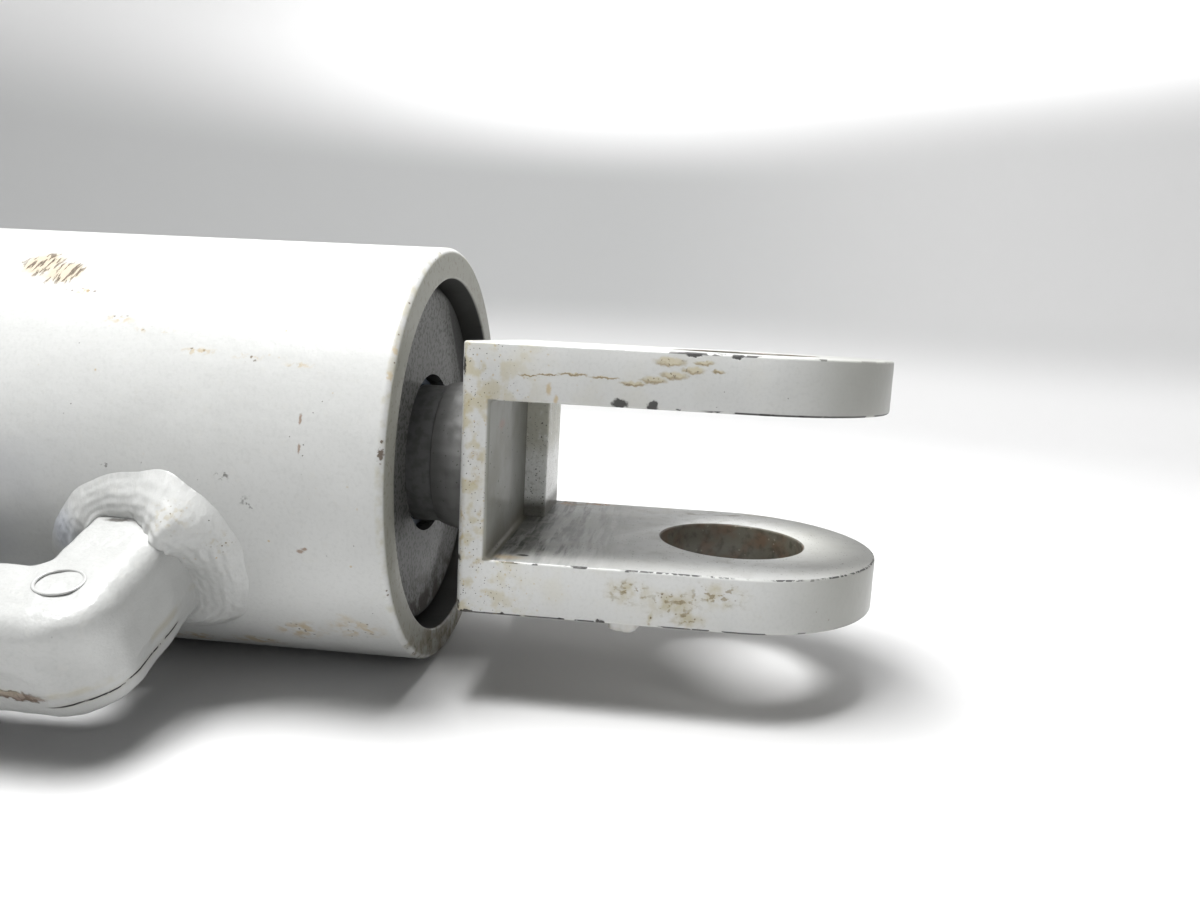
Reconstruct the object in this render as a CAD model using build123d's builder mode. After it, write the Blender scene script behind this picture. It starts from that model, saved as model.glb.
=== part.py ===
"""Double-acting hydraulic cylinder with a welded clevis at each end and two welded port elbows.

Frame: origin at the middle of the base clevis's pin bore, +X along the rod towards the rod clevis,
+Z up along both pin bores. Millimetres. The rod is fully retracted.
"""

import os
from math import cos, radians, sin

from build123d import *

# Barrel
BARREL_OUTER_RADIUS = 44.45
BARREL_BORE_RADIUS = 38.1
STROKE = 203.2
END_CHAMFER = 1.1
END_TO_CLEVIS = 9.4

# Clevises: a square yoke with full half-round arms
CLEVIS_WIDTH = 60.0
CLEVIS_HEIGHT = 51.2
CLEVIS_GAP = 30.0
PIN_BORE_RADIUS = 15.3
PIN_TO_BACK = 53.2
BASE_PLATE_THICKNESS = 10.6
ROD_PLATE_THICKNESS = 5.6
PAD_THICKNESS = 5.0
PAD_START_Y = 9.2
CLEVIS_CORNER_RADIUS = 2.0
EDGE_BREAK = 0.6
PAD_EDGE_RADIUS = 0.5

# Base cap
CAP_FLANGE = 8.0
CAP_EDGE = 1.0
CAP_SPIGOT_LENGTH = 24.0
CAP_STUB_LENGTH = 14.0
CAP_STUB_RADIUS = 29.0
NUT_RECESS_RADIUS = 20.0
NUT_RECESS_DEPTH = 20.0
OIL_SLOT_WIDTH = 8.0
OIL_SLOT_DEPTH = 5.0
WELD_GROOVE = 4.0
WELD_ROOT_RADIUS = 39.2

# Piston and rod
PISTON_LENGTH = 40.0
PISTON_RADIUS = 37.85
STOP_GAP = 0.2
ROD_RADIUS = 15.0
SHANK_RADIUS = 11.0
THREAD_RADIUS = 10.0
NUT_THICKNESS = 16.0
NUT_ACROSS_FLATS = 32.0
THREAD_STICK_OUT = 2.0
LEAD_IN = 1.5
WEAR_RING_START = 4.0
WEAR_RING_WIDTH = 8.0
WEAR_GROOVE_RADIUS = 36.0
SEAL_GROOVE_WIDTH = 9.0
SEAL_GROOVE_RADIUS = 32.0
SEAL_SPLIT_RADIUS = 34.5
SHANK_RING_WIDTH = 3.6
SHANK_RING_RADIUS = 13.4

# Gland, stations measured back from the open end of the barrel
GLAND_RECESS = 4.9
GLAND_SHOULDER = 37.0
GLAND_END = 53.0
GLAND_CLEARANCE = 0.05
GLAND_STUB_RADIUS = 31.0
GLAND_CHAMFER = 2.1
GLAND_MOUTH_RADIUS = 17.35
GLAND_LAND_RADIUS = 15.4
WIPER_START = 8.4
WIPER_END = 14.4
WIPER_LIP_REACH = 1.2
WIPER_LIP_THICKNESS = 1.2
WIPER_SHOULDER = 2.0
WIPER_RELIEF = 0.5
ROD_SEAL_START = 18.4
ROD_SEAL_END = 26.4
ROD_SEAL_CUP_DEPTH = 3.5
ROD_SEAL_CUP_HALF_WIDTH = 1.0
BUSHING_START = 30.4
BUSHING_END = 45.4
ROD_GROOVE_RADIUS = 20.0
BUSHING_GROOVE_RADIUS = 17.5
WIRE_STATION = 12.0
WIRE_RADIUS = 2.35
WIRE_GROOVE_RADIUS = 2.45
WIRE_ARC = 352.0
O_GROOVE_START = 20.0
O_GROOVE_END = 26.2
O_GROOVE_RADIUS = 35.2
BACKUP_WIDTH = 1.8

# Fits
RUNNING = 0.05
SIDE_PLAY = 0.15
SNUG = 0.03

# Port elbows: a flat-sided forged leg, square to the barrel and then along it
HEAD_PORT_SETBACK = 44.0
HEAD_PORT_ANGLE = -23.5
BASE_PORT_ANGLE = 24.0
LEG_DISTANCE = 65.0
LEG_HALF_DEPTH = 7.5
RISER_HALF_WIDTH = 7.8
ELBOW_HALF_HEIGHT = 11.0
OUTER_BEND = 9.5
INNER_BEND = 3.0
ELBOW_EDGE_RADIUS = 3.4
HEAD_LEG_LENGTH = 70.0
BASE_LEG_LENGTH = 44.0
BOSS_RADIUS = 14.0
BOSS_LENGTH = 22.0
BOSS_OVERLAP = 4.0
ELBOW_ROOT_DEPTH = 8.0
PASSAGE_RADIUS = 5.0
PORT_THREAD_RADIUS = 8.75
PORT_THREAD_DEPTH = 15.0
WELD_PASSAGE_GAP = 0.5
PORT_WELD_FOOT = 38.0
PORT_WELD_BASE_RADIUS = 21.5
PORT_WELD_TOP_RADIUS = 13.2
PORT_WELD_TOP = 50.5

# Welds at the clevises
BASE_WELD_LEG = 5.0
BASE_WELD_LIP = 0.2
ROD_WELD_TOE = 0.5
ROD_WELD_LIP = 0.4
ROD_WELD_FLARE = 3.2
NUB_RADIUS = 2.8
NUB_DROP = 3.0
NUB_EDGE_RADIUS = 1.2
NUB_STATION = 41.5
NUB_Y = -24.5

# How far cutting shapes run past what they cut, and how close counts as the same place
OVERRUN = 5.0
CUTTER_HALF_LENGTH = 40.0
TOLERANCE = 0.01

# Stations along X worked out from the sizes above
CAP_BACK = PIN_TO_BACK
TUBE_START = CAP_BACK + CAP_FLANGE
SPIGOT_END = CAP_BACK + CAP_SPIGOT_LENGTH
CAP_FRONT = SPIGOT_END + CAP_STUB_LENGTH
BASE_PORT_X = SPIGOT_END + CAP_STUB_LENGTH / 2
PISTON_BACK = CAP_FRONT + STOP_GAP
PISTON_FRONT = PISTON_BACK + PISTON_LENGTH
GLAND_BACK = PISTON_FRONT + STROKE + STOP_GAP
OPEN_END = GLAND_BACK + GLAND_END
HEAD_PORT_X = OPEN_END - HEAD_PORT_SETBACK
ROD_CLEVIS_BACK = OPEN_END + END_TO_CLEVIS
ROD_PIN_X = ROD_CLEVIS_BACK + PIN_TO_BACK
SHANK_END = PISTON_BACK - NUT_THICKNESS - THREAD_STICK_OUT

os.makedirs("parts", exist_ok=True)


def save(builder, name):
    """Label a finished piece and write its STEP file."""
    builder.part.label = name
    export_step(builder.part, f"parts/{name}.step")


def turned(points):
    """A piece turned about the X axis from an outline of (station, radius) points."""
    with BuildPart() as piece:
        with BuildSketch(Plane.XY):
            with BuildLine():
                Polyline(*points, close=True)
            make_face()
        revolve(axis=Axis.X)
    return piece


def turned_ring(start, end, inner, outer):
    """A plain ring between two stations."""
    return turned([(start, inner), (end, inner), (end, outer), (start, outer)])


def radial(angle):
    """Unit vector square to the barrel on its -Y side, raised by the angle in degrees."""
    return Vector(0, -cos(radians(angle)), sin(radians(angle)))


def across(angle):
    """Unit vector square to both X and radial(angle), pointing up."""
    return Vector(0, sin(radians(angle)), cos(radians(angle)))


def passage_plane(station, angle):
    """Plane on the barrel's axis whose normal runs out along a port."""
    return Plane(origin=(station, 0, 0), x_dir=(1, 0, 0), z_dir=radial(angle))


# ---------------------------------------------------------------- barrel tube
with BuildPart() as barrel_tube:
    with BuildSketch(Plane.XY):
        with BuildLine():
            Polyline(
                (TUBE_START, BARREL_BORE_RADIUS),
                (OPEN_END, BARREL_BORE_RADIUS),
                (OPEN_END, BARREL_OUTER_RADIUS - END_CHAMFER),
                (OPEN_END - END_CHAMFER, BARREL_OUTER_RADIUS),
                (TUBE_START + WELD_GROOVE, BARREL_OUTER_RADIUS),
                (TUBE_START, WELD_ROOT_RADIUS),
                close=True,
            )
        make_face()
        with Locations((OPEN_END - WIRE_STATION, BARREL_BORE_RADIUS)):
            Circle(WIRE_GROOVE_RADIUS, mode=Mode.SUBTRACT)
    revolve(axis=Axis.X)
    for station, angle in ((HEAD_PORT_X, HEAD_PORT_ANGLE), (BASE_PORT_X, BASE_PORT_ANGLE)):
        with BuildSketch(passage_plane(station, angle)):
            Circle(PASSAGE_RADIUS)
        extrude(amount=BARREL_OUTER_RADIUS + OVERRUN, mode=Mode.SUBTRACT)
save(barrel_tube, "barrel_tube")

# ---------------------------------------------------------------- base cap
with BuildPart() as base_cap:
    spigot_radius = BARREL_BORE_RADIUS - SNUG
    with BuildSketch(Plane.XY):
        with BuildLine():
            Polyline(
                (CAP_BACK, 0),
                (CAP_FRONT, 0),
                (CAP_FRONT, CAP_STUB_RADIUS),
                (SPIGOT_END, CAP_STUB_RADIUS),
                (SPIGOT_END, spigot_radius - LEAD_IN),
                (SPIGOT_END - LEAD_IN, spigot_radius),
                (TUBE_START, spigot_radius),
                (TUBE_START, WELD_ROOT_RADIUS),
                (TUBE_START - WELD_GROOVE, BARREL_OUTER_RADIUS),
                (CAP_BACK + CAP_EDGE, BARREL_OUTER_RADIUS),
                (CAP_BACK, BARREL_OUTER_RADIUS - CAP_EDGE),
                close=True,
            )
        make_face()
    revolve(axis=Axis.X)
    with BuildSketch(Plane.YZ.offset(CAP_FRONT)):
        Circle(NUT_RECESS_RADIUS)
    extrude(amount=-NUT_RECESS_DEPTH, mode=Mode.SUBTRACT)
    # Cross slots that let oil reach the piston when it rests on the stub
    with BuildSketch(Plane.YZ.offset(CAP_FRONT)):
        Rectangle(OIL_SLOT_WIDTH, 2 * (CAP_STUB_RADIUS + OVERRUN))
        Rectangle(2 * (CAP_STUB_RADIUS + OVERRUN), OIL_SLOT_WIDTH)
    extrude(amount=-OIL_SLOT_DEPTH, mode=Mode.SUBTRACT)
save(base_cap, "base_cap")

base_cap_weld = turned(
    [
        (TUBE_START, WELD_ROOT_RADIUS),
        (TUBE_START + WELD_GROOVE, BARREL_OUTER_RADIUS),
        (TUBE_START - WELD_GROOVE, BARREL_OUTER_RADIUS),
    ]
)
save(base_cap_weld, "base_cap_weld")


# ---------------------------------------------------------------- clevises
def clevis(pin_x, back_x, plate_thickness):
    """A yoke whose arms run from a flat back to a half round about the pin bore."""
    away = 1 if pin_x > back_x else -1
    half = CLEVIS_WIDTH / 2
    middle = (pin_x + back_x) / 2
    with BuildPart() as yoke:
        with BuildSketch(Plane.XY):
            with Locations((middle, 0)):
                Rectangle(abs(pin_x - back_x), CLEVIS_WIDTH)
            with Locations((pin_x, 0)):
                Circle(half)
        extrude(amount=CLEVIS_HEIGHT / 2, both=True)
        back_edges = yoke.edges().filter_by(Axis.Z).filter_by(lambda e: abs(e.center().X - back_x) < TOLERANCE)
        fillet(back_edges, radius=CLEVIS_CORNER_RADIUS)
        gap_start = back_x + away * plate_thickness
        gap_end = pin_x + away * (half + OVERRUN)
        with BuildSketch(Plane.XY):
            with Locations(((gap_start + gap_end) / 2, 0)):
                Rectangle(abs(gap_end - gap_start), CLEVIS_WIDTH + 2 * OVERRUN)
        extrude(amount=CLEVIS_GAP / 2, both=True, mode=Mode.SUBTRACT)
        with BuildSketch(Plane.XY.offset(-CLEVIS_HEIGHT)):
            with Locations((pin_x, 0)):
                Circle(PIN_BORE_RADIUS)
        extrude(amount=2 * CLEVIS_HEIGHT, mode=Mode.SUBTRACT)
        outer_faces = yoke.faces().filter_by(Axis.Z).filter_by(
            lambda f: abs(abs(f.center().Z) - CLEVIS_HEIGHT / 2) < TOLERANCE
        )
        chamfer(outer_faces.edges(), length=EDGE_BREAK)
    return yoke


base_clevis = clevis(0.0, CAP_BACK, BASE_PLATE_THICKNESS)
save(base_clevis, "base_clevis")

rod_clevis = clevis(ROD_PIN_X, ROD_CLEVIS_BACK, ROD_PLATE_THICKNESS)
save(rod_clevis, "rod_clevis")

with BuildPart() as rod_clevis_pad:
    pad_x = ROD_CLEVIS_BACK + ROD_PLATE_THICKNESS
    pad_width = CLEVIS_WIDTH / 2 - PAD_START_Y
    with BuildSketch(Plane.XY):
        with Locations((pad_x + PAD_THICKNESS / 2, PAD_START_Y + pad_width / 2)):
            Rectangle(PAD_THICKNESS, pad_width)
    extrude(amount=CLEVIS_GAP / 2, both=True)
    pad_edges = rod_clevis_pad.edges().filter_by(Axis.Z).sort_by(Axis.X)[-2:]
    fillet(pad_edges, radius=PAD_EDGE_RADIUS)
save(rod_clevis_pad, "rod_clevis_pad")

with BuildPart() as rod_clevis_nub:
    with BuildSketch(Plane.XY.offset(-CLEVIS_HEIGHT / 2)):
        with Locations((OPEN_END + NUB_STATION, NUB_Y)):
            Circle(NUB_RADIUS)
    extrude(amount=-NUB_DROP)
    fillet(rod_clevis_nub.edges().sort_by(Axis.Z)[0], radius=NUB_EDGE_RADIUS)
save(rod_clevis_nub, "rod_clevis_nub")

# Fillet weld around the base clevis's foot on the cap
with BuildPart() as base_clevis_weld:
    with BuildSketch(Plane.YZ.offset(CAP_BACK)):
        RectangleRounded(
            CLEVIS_WIDTH + 2 * BASE_WELD_LEG,
            CLEVIS_HEIGHT + 2 * BASE_WELD_LEG,
            CLEVIS_CORNER_RADIUS + BASE_WELD_LEG,
        )
    with BuildSketch(Plane.YZ.offset(CAP_BACK - BASE_WELD_LEG)):
        RectangleRounded(
            CLEVIS_WIDTH + 2 * BASE_WELD_LIP,
            CLEVIS_HEIGHT + 2 * BASE_WELD_LIP,
            CLEVIS_CORNER_RADIUS + BASE_WELD_LIP,
        )
    loft()
    with BuildSketch(Plane.YZ.offset(CAP_BACK + OVERRUN)):
        Rectangle(CLEVIS_WIDTH, CLEVIS_HEIGHT)
    extrude(amount=-2 * (OVERRUN + BASE_WELD_LEG), mode=Mode.SUBTRACT)
save(base_clevis_weld, "base_clevis_weld")

rod_clevis_weld = turned(
    [
        (OPEN_END - ROD_WELD_TOE, ROD_RADIUS),
        (ROD_CLEVIS_BACK, ROD_RADIUS),
        (ROD_CLEVIS_BACK, ROD_RADIUS + ROD_WELD_FLARE),
        (OPEN_END - ROD_WELD_TOE, ROD_RADIUS + ROD_WELD_LIP),
    ]
)
save(rod_clevis_weld, "rod_clevis_weld")

# ---------------------------------------------------------------- gland
with BuildPart() as gland:
    rim = BARREL_BORE_RADIUS - GLAND_CLEARANCE
    front = OPEN_END - GLAND_RECESS
    with BuildSketch(Plane.XY):
        with BuildLine():
            Polyline(
                (front, GLAND_MOUTH_RADIUS),
                (front, rim - GLAND_CHAMFER),
                (front - GLAND_CHAMFER, rim),
                (OPEN_END - O_GROOVE_START, rim),
                (OPEN_END - O_GROOVE_START, O_GROOVE_RADIUS),
                (OPEN_END - O_GROOVE_END, O_GROOVE_RADIUS),
                (OPEN_END - O_GROOVE_END, rim),
                (OPEN_END - GLAND_SHOULDER, rim),
                (OPEN_END - GLAND_SHOULDER, GLAND_STUB_RADIUS),
                (GLAND_BACK, GLAND_STUB_RADIUS),
                (GLAND_BACK, GLAND_LAND_RADIUS),
                (OPEN_END - BUSHING_END, GLAND_LAND_RADIUS),
                (OPEN_END - BUSHING_END, BUSHING_GROOVE_RADIUS),
                (OPEN_END - BUSHING_START, BUSHING_GROOVE_RADIUS),
                (OPEN_END - BUSHING_START, GLAND_LAND_RADIUS),
                (OPEN_END - ROD_SEAL_END, GLAND_LAND_RADIUS),
                (OPEN_END - ROD_SEAL_END, ROD_GROOVE_RADIUS),
                (OPEN_END - ROD_SEAL_START, ROD_GROOVE_RADIUS),
                (OPEN_END - ROD_SEAL_START, GLAND_LAND_RADIUS),
                (OPEN_END - WIPER_END, GLAND_LAND_RADIUS),
                (OPEN_END - WIPER_END, ROD_GROOVE_RADIUS),
                (OPEN_END - WIPER_START, ROD_GROOVE_RADIUS),
                (OPEN_END - WIPER_START, GLAND_MOUTH_RADIUS),
                close=True,
            )
        make_face()
        with Locations((OPEN_END - WIRE_STATION, BARREL_BORE_RADIUS)):
            Circle(WIRE_GROOVE_RADIUS, mode=Mode.SUBTRACT)
    revolve(axis=Axis.X)
    # Cross slots that let oil reach the piston when it rests on the gland
    with BuildSketch(Plane.YZ.offset(GLAND_BACK)):
        Rectangle(OIL_SLOT_WIDTH, 2 * (GLAND_STUB_RADIUS + OVERRUN))
        Rectangle(2 * (GLAND_STUB_RADIUS + OVERRUN), OIL_SLOT_WIDTH)
        Circle(ROD_GROOVE_RADIUS, mode=Mode.SUBTRACT)
    extrude(amount=OIL_SLOT_DEPTH, mode=Mode.SUBTRACT)
save(gland, "gland")

with BuildPart() as gland_retaining_ring:
    with BuildSketch(Plane.XY):
        with Locations((OPEN_END - WIRE_STATION, BARREL_BORE_RADIUS)):
            Circle(WIRE_RADIUS)
    revolve(axis=Axis.X, revolution_arc=WIRE_ARC)
save(gland_retaining_ring, "gland_retaining_ring")

split_station = OPEN_END - O_GROOVE_END + BACKUP_WIDTH + SIDE_PLAY
gland_o_ring = turned_ring(
    split_station + SIDE_PLAY,
    OPEN_END - O_GROOVE_START - SIDE_PLAY,
    O_GROOVE_RADIUS + SNUG,
    BARREL_BORE_RADIUS - SNUG,
)
save(gland_o_ring, "gland_o_ring")

gland_backup_ring = turned_ring(
    OPEN_END - O_GROOVE_END + SIDE_PLAY,
    split_station,
    O_GROOVE_RADIUS + SNUG,
    BARREL_BORE_RADIUS - SNUG,
)
save(gland_backup_ring, "gland_backup_ring")

# Wiper: a body in its groove and a lip that reaches forward into the gland's mouth
rod_wiper = turned(
    [
        (OPEN_END - WIPER_END + SIDE_PLAY, ROD_RADIUS + RUNNING + WIPER_RELIEF),
        (OPEN_END - WIPER_START + WIPER_LIP_REACH, ROD_RADIUS + RUNNING),
        (OPEN_END - WIPER_START + WIPER_LIP_REACH, ROD_RADIUS + WIPER_LIP_THICKNESS),
        (OPEN_END - WIPER_START - SIDE_PLAY, ROD_RADIUS + WIPER_SHOULDER),
        (OPEN_END - WIPER_START - SIDE_PLAY, ROD_GROOVE_RADIUS - SNUG),
        (OPEN_END - WIPER_END + SIDE_PLAY, ROD_GROOVE_RADIUS - SNUG),
    ]
)
save(rod_wiper, "rod_wiper")

# U-cup rod seal, its mouth towards the oil
seal_middle = (ROD_RADIUS + ROD_GROOVE_RADIUS) / 2
rod_seal = turned(
    [
        (OPEN_END - ROD_SEAL_START - SIDE_PLAY, ROD_RADIUS + RUNNING),
        (OPEN_END - ROD_SEAL_START - SIDE_PLAY, ROD_GROOVE_RADIUS - SNUG),
        (OPEN_END - ROD_SEAL_END + SIDE_PLAY, ROD_GROOVE_RADIUS - SNUG),
        (OPEN_END - ROD_SEAL_END + SIDE_PLAY, seal_middle + ROD_SEAL_CUP_HALF_WIDTH),
        (OPEN_END - ROD_SEAL_END + ROD_SEAL_CUP_DEPTH, seal_middle),
        (OPEN_END - ROD_SEAL_END + SIDE_PLAY, seal_middle - ROD_SEAL_CUP_HALF_WIDTH),
        (OPEN_END - ROD_SEAL_END + SIDE_PLAY, ROD_RADIUS + RUNNING),
    ]
)
save(rod_seal, "rod_seal")

rod_bushing = turned_ring(
    OPEN_END - BUSHING_END + SIDE_PLAY,
    OPEN_END - BUSHING_START - SIDE_PLAY,
    ROD_RADIUS + RUNNING,
    BUSHING_GROOVE_RADIUS - SNUG,
)
save(rod_bushing, "rod_bushing")

# ---------------------------------------------------------------- piston and its rings
REAR_WEAR_X = PISTON_BACK + WEAR_RING_START
FRONT_WEAR_X = PISTON_FRONT - WEAR_RING_START - WEAR_RING_WIDTH
SEAL_X = PISTON_BACK + (PISTON_LENGTH - SEAL_GROOVE_WIDTH) / 2
SHANK_RING_X = PISTON_BACK + (PISTON_LENGTH - SHANK_RING_WIDTH) / 2

with BuildPart() as piston:
    with BuildSketch(Plane.XY):
        with BuildLine():
            Polyline(
                (PISTON_BACK, SHANK_RADIUS + SNUG),
                (PISTON_FRONT, SHANK_RADIUS + SNUG),
                (PISTON_FRONT, PISTON_RADIUS - LEAD_IN),
                (PISTON_FRONT - LEAD_IN, PISTON_RADIUS),
                (PISTON_BACK + LEAD_IN, PISTON_RADIUS),
                (PISTON_BACK, PISTON_RADIUS - LEAD_IN),
                close=True,
            )
        make_face()
        for start in (REAR_WEAR_X, FRONT_WEAR_X):
            with Locations((start, WEAR_GROOVE_RADIUS)):
                Rectangle(WEAR_RING_WIDTH, 2 * OVERRUN, align=(Align.MIN, Align.MIN), mode=Mode.SUBTRACT)
        with Locations((SEAL_X, SEAL_GROOVE_RADIUS)):
            Rectangle(SEAL_GROOVE_WIDTH, 2 * OVERRUN, align=(Align.MIN, Align.MIN), mode=Mode.SUBTRACT)
        with Locations((SHANK_RING_X, SHANK_RADIUS)):
            Rectangle(
                SHANK_RING_WIDTH,
                SHANK_RING_RADIUS - SHANK_RADIUS,
                align=(Align.MIN, Align.MIN),
                mode=Mode.SUBTRACT,
            )
    revolve(axis=Axis.X)
save(piston, "piston")

for name, start in (("piston_wear_ring_rear", REAR_WEAR_X), ("piston_wear_ring_front", FRONT_WEAR_X)):
    wear_ring = turned_ring(
        start + SIDE_PLAY,
        start + WEAR_RING_WIDTH - SIDE_PLAY,
        WEAR_GROOVE_RADIUS + RUNNING,
        BARREL_BORE_RADIUS - RUNNING,
    )
    save(wear_ring, name)

piston_seal = turned_ring(
    SEAL_X + SIDE_PLAY,
    SEAL_X + SEAL_GROOVE_WIDTH - SIDE_PLAY,
    SEAL_SPLIT_RADIUS,
    BARREL_BORE_RADIUS - RUNNING,
)
save(piston_seal, "piston_seal")

piston_seal_energizer = turned_ring(
    SEAL_X + 3 * SIDE_PLAY,
    SEAL_X + SEAL_GROOVE_WIDTH - 3 * SIDE_PLAY,
    SEAL_GROOVE_RADIUS + RUNNING,
    SEAL_SPLIT_RADIUS - SNUG,
)
save(piston_seal_energizer, "piston_seal_energizer")

piston_o_ring = turned_ring(
    SHANK_RING_X + SIDE_PLAY,
    SHANK_RING_X + SHANK_RING_WIDTH - SIDE_PLAY,
    SHANK_RADIUS + SNUG,
    SHANK_RING_RADIUS - SNUG,
)
save(piston_o_ring, "piston_o_ring")

with BuildPart() as piston_nut:
    with BuildSketch(Plane.YZ.offset(PISTON_BACK)):
        RegularPolygon(NUT_ACROSS_FLATS / 2, 6, major_radius=False)
        Circle(THREAD_RADIUS + SNUG, mode=Mode.SUBTRACT)
    extrude(amount=-NUT_THICKNESS)
save(piston_nut, "piston_nut")

piston_rod = turned(
    [
        (SHANK_END, 0),
        (ROD_CLEVIS_BACK, 0),
        (ROD_CLEVIS_BACK, ROD_RADIUS),
        (PISTON_FRONT, ROD_RADIUS),
        (PISTON_FRONT, SHANK_RADIUS),
        (PISTON_BACK, SHANK_RADIUS),
        (PISTON_BACK, THREAD_RADIUS),
        (SHANK_END + LEAD_IN, THREAD_RADIUS),
        (SHANK_END, THREAD_RADIUS - LEAD_IN),
    ]
)
save(piston_rod, "piston_rod")


# ---------------------------------------------------------------- port elbows
def port_elbow(station, angle, leg_length):
    """A forged elbow: a riser on the barrel, a bend, a leg along -X and a round threaded boss."""
    # Local x is X, local y points in towards the barrel's axis, local z is across the leg
    side = Plane(origin=(station, 0, 0), x_dir=(1, 0, 0), z_dir=across(angle))
    outside = -(LEG_DISTANCE + LEG_HALF_DEPTH)
    inside = -(LEG_DISTANCE - LEG_HALF_DEPTH)
    root = -(BARREL_OUTER_RADIUS - ELBOW_ROOT_DEPTH)
    right = RISER_HALF_WIDTH
    left = -RISER_HALF_WIDTH
    boss_start = -leg_length
    boss_end = -(leg_length + BOSS_LENGTH)
    with BuildPart() as elbow:
        with BuildSketch(side):
            with BuildLine():
                Line((right, root), (right, outside + OUTER_BEND))
                RadiusArc((right, outside + OUTER_BEND), (right - OUTER_BEND, outside), OUTER_BEND)
                Line((right - OUTER_BEND, outside), (boss_start, outside))
                Line((boss_start, outside), (boss_start, inside))
                Line((boss_start, inside), (left - INNER_BEND, inside))
                RadiusArc((left - INNER_BEND, inside), (left, inside + INNER_BEND), -INNER_BEND)
                Line((left, inside + INNER_BEND), (left, root))
                Line((left, root), (right, root))
            make_face()
        extrude(amount=ELBOW_HALF_HEIGHT, both=True)
        flats = elbow.faces().sort_by(Axis((0, 0, 0), across(angle)))
        rims = (flats[0].edges() + flats[-1].edges()).filter_by(
            lambda e: e.center().X > station + boss_start + TOLERANCE
        ).filter_by(lambda e: e.center().dot(radial(angle)) > -root + TOLERANCE)
        fillet(rims, radius=ELBOW_EDGE_RADIUS)
        leg_end = Vector(station + boss_start, 0, 0) + radial(angle) * LEG_DISTANCE
        with BuildSketch(Plane(origin=leg_end + Vector(BOSS_OVERLAP, 0, 0), z_dir=(-1, 0, 0))):
            Circle(BOSS_RADIUS)
        extrude(amount=BOSS_LENGTH + BOSS_OVERLAP)
        # Drilled passage: in from the barrel, then along the leg to the threaded mouth
        with BuildSketch(passage_plane(station, angle)):
            Circle(PASSAGE_RADIUS)
        extrude(amount=LEG_DISTANCE, mode=Mode.SUBTRACT)
        mouth = Vector(station + boss_end, 0, 0) + radial(angle) * LEG_DISTANCE
        with BuildSketch(Plane(origin=mouth, z_dir=(1, 0, 0))):
            Circle(PASSAGE_RADIUS)
        extrude(amount=-boss_end, mode=Mode.SUBTRACT)
        with BuildSketch(Plane(origin=mouth, z_dir=(1, 0, 0))):
            Circle(PORT_THREAD_RADIUS)
        extrude(amount=PORT_THREAD_DEPTH, mode=Mode.SUBTRACT)
        # The foot follows the barrel
        with BuildSketch(Plane.YZ.offset(station)):
            Circle(BARREL_OUTER_RADIUS)
        extrude(amount=CUTTER_HALF_LENGTH, both=True, mode=Mode.SUBTRACT)
    return elbow


def port_weld(station, angle, elbow):
    """A wide cone of weld between the barrel and the elbow's riser."""
    foot = Plane(origin=Vector(station, 0, 0) + radial(angle) * PORT_WELD_FOOT, z_dir=radial(angle))
    crown = Plane(origin=Vector(station, 0, 0) + radial(angle) * PORT_WELD_TOP, z_dir=radial(angle))
    with BuildPart() as weld:
        with BuildSketch(foot):
            Circle(PORT_WELD_BASE_RADIUS)
        with BuildSketch(crown):
            Circle(PORT_WELD_TOP_RADIUS)
        loft()
        with BuildSketch(Plane.YZ.offset(station)):
            Circle(BARREL_OUTER_RADIUS)
        extrude(amount=CUTTER_HALF_LENGTH, both=True, mode=Mode.SUBTRACT)
        add(elbow.part, mode=Mode.SUBTRACT)
        with BuildSketch(passage_plane(station, angle)):
            Circle(PASSAGE_RADIUS + WELD_PASSAGE_GAP)
        extrude(amount=LEG_DISTANCE, mode=Mode.SUBTRACT)
    return weld


head_port_elbow = port_elbow(HEAD_PORT_X, HEAD_PORT_ANGLE, HEAD_LEG_LENGTH)
save(head_port_elbow, "head_port_elbow")
head_port_weld = port_weld(HEAD_PORT_X, HEAD_PORT_ANGLE, head_port_elbow)
save(head_port_weld, "head_port_weld")

base_port_elbow = port_elbow(BASE_PORT_X, BASE_PORT_ANGLE, BASE_LEG_LENGTH)
save(base_port_elbow, "base_port_elbow")
base_port_weld = port_weld(BASE_PORT_X, BASE_PORT_ANGLE, base_port_elbow)
save(base_port_weld, "base_port_weld")
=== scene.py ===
"""Looks for a double-acting hydraulic cylinder with welded clevises and two forged port elbows.

Frame: origin at the middle of the base clevis's pin bore, +X along the rod, +Z up along the pin bores.
Lengths in this script are millimetres and are scaled to metres where a mesh, lamp or camera is made.
"""

import math

import bmesh
import bpy
from mathutils import Matrix, Vector, noise


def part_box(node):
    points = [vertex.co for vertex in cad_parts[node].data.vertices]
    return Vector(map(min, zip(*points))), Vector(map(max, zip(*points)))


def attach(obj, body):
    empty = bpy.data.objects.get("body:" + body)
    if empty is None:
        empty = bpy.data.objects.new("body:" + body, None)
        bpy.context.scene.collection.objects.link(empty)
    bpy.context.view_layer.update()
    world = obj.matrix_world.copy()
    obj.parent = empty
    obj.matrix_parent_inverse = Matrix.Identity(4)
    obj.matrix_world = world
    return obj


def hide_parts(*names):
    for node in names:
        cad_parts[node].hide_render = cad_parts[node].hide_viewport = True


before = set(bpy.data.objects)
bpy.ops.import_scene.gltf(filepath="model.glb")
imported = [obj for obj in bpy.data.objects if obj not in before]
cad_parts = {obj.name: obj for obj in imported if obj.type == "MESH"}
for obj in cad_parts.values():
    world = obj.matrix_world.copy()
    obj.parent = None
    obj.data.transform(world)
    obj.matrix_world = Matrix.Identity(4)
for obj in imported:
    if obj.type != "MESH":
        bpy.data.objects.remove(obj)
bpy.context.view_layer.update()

MM = 0.001
scene = bpy.context.scene


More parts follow.
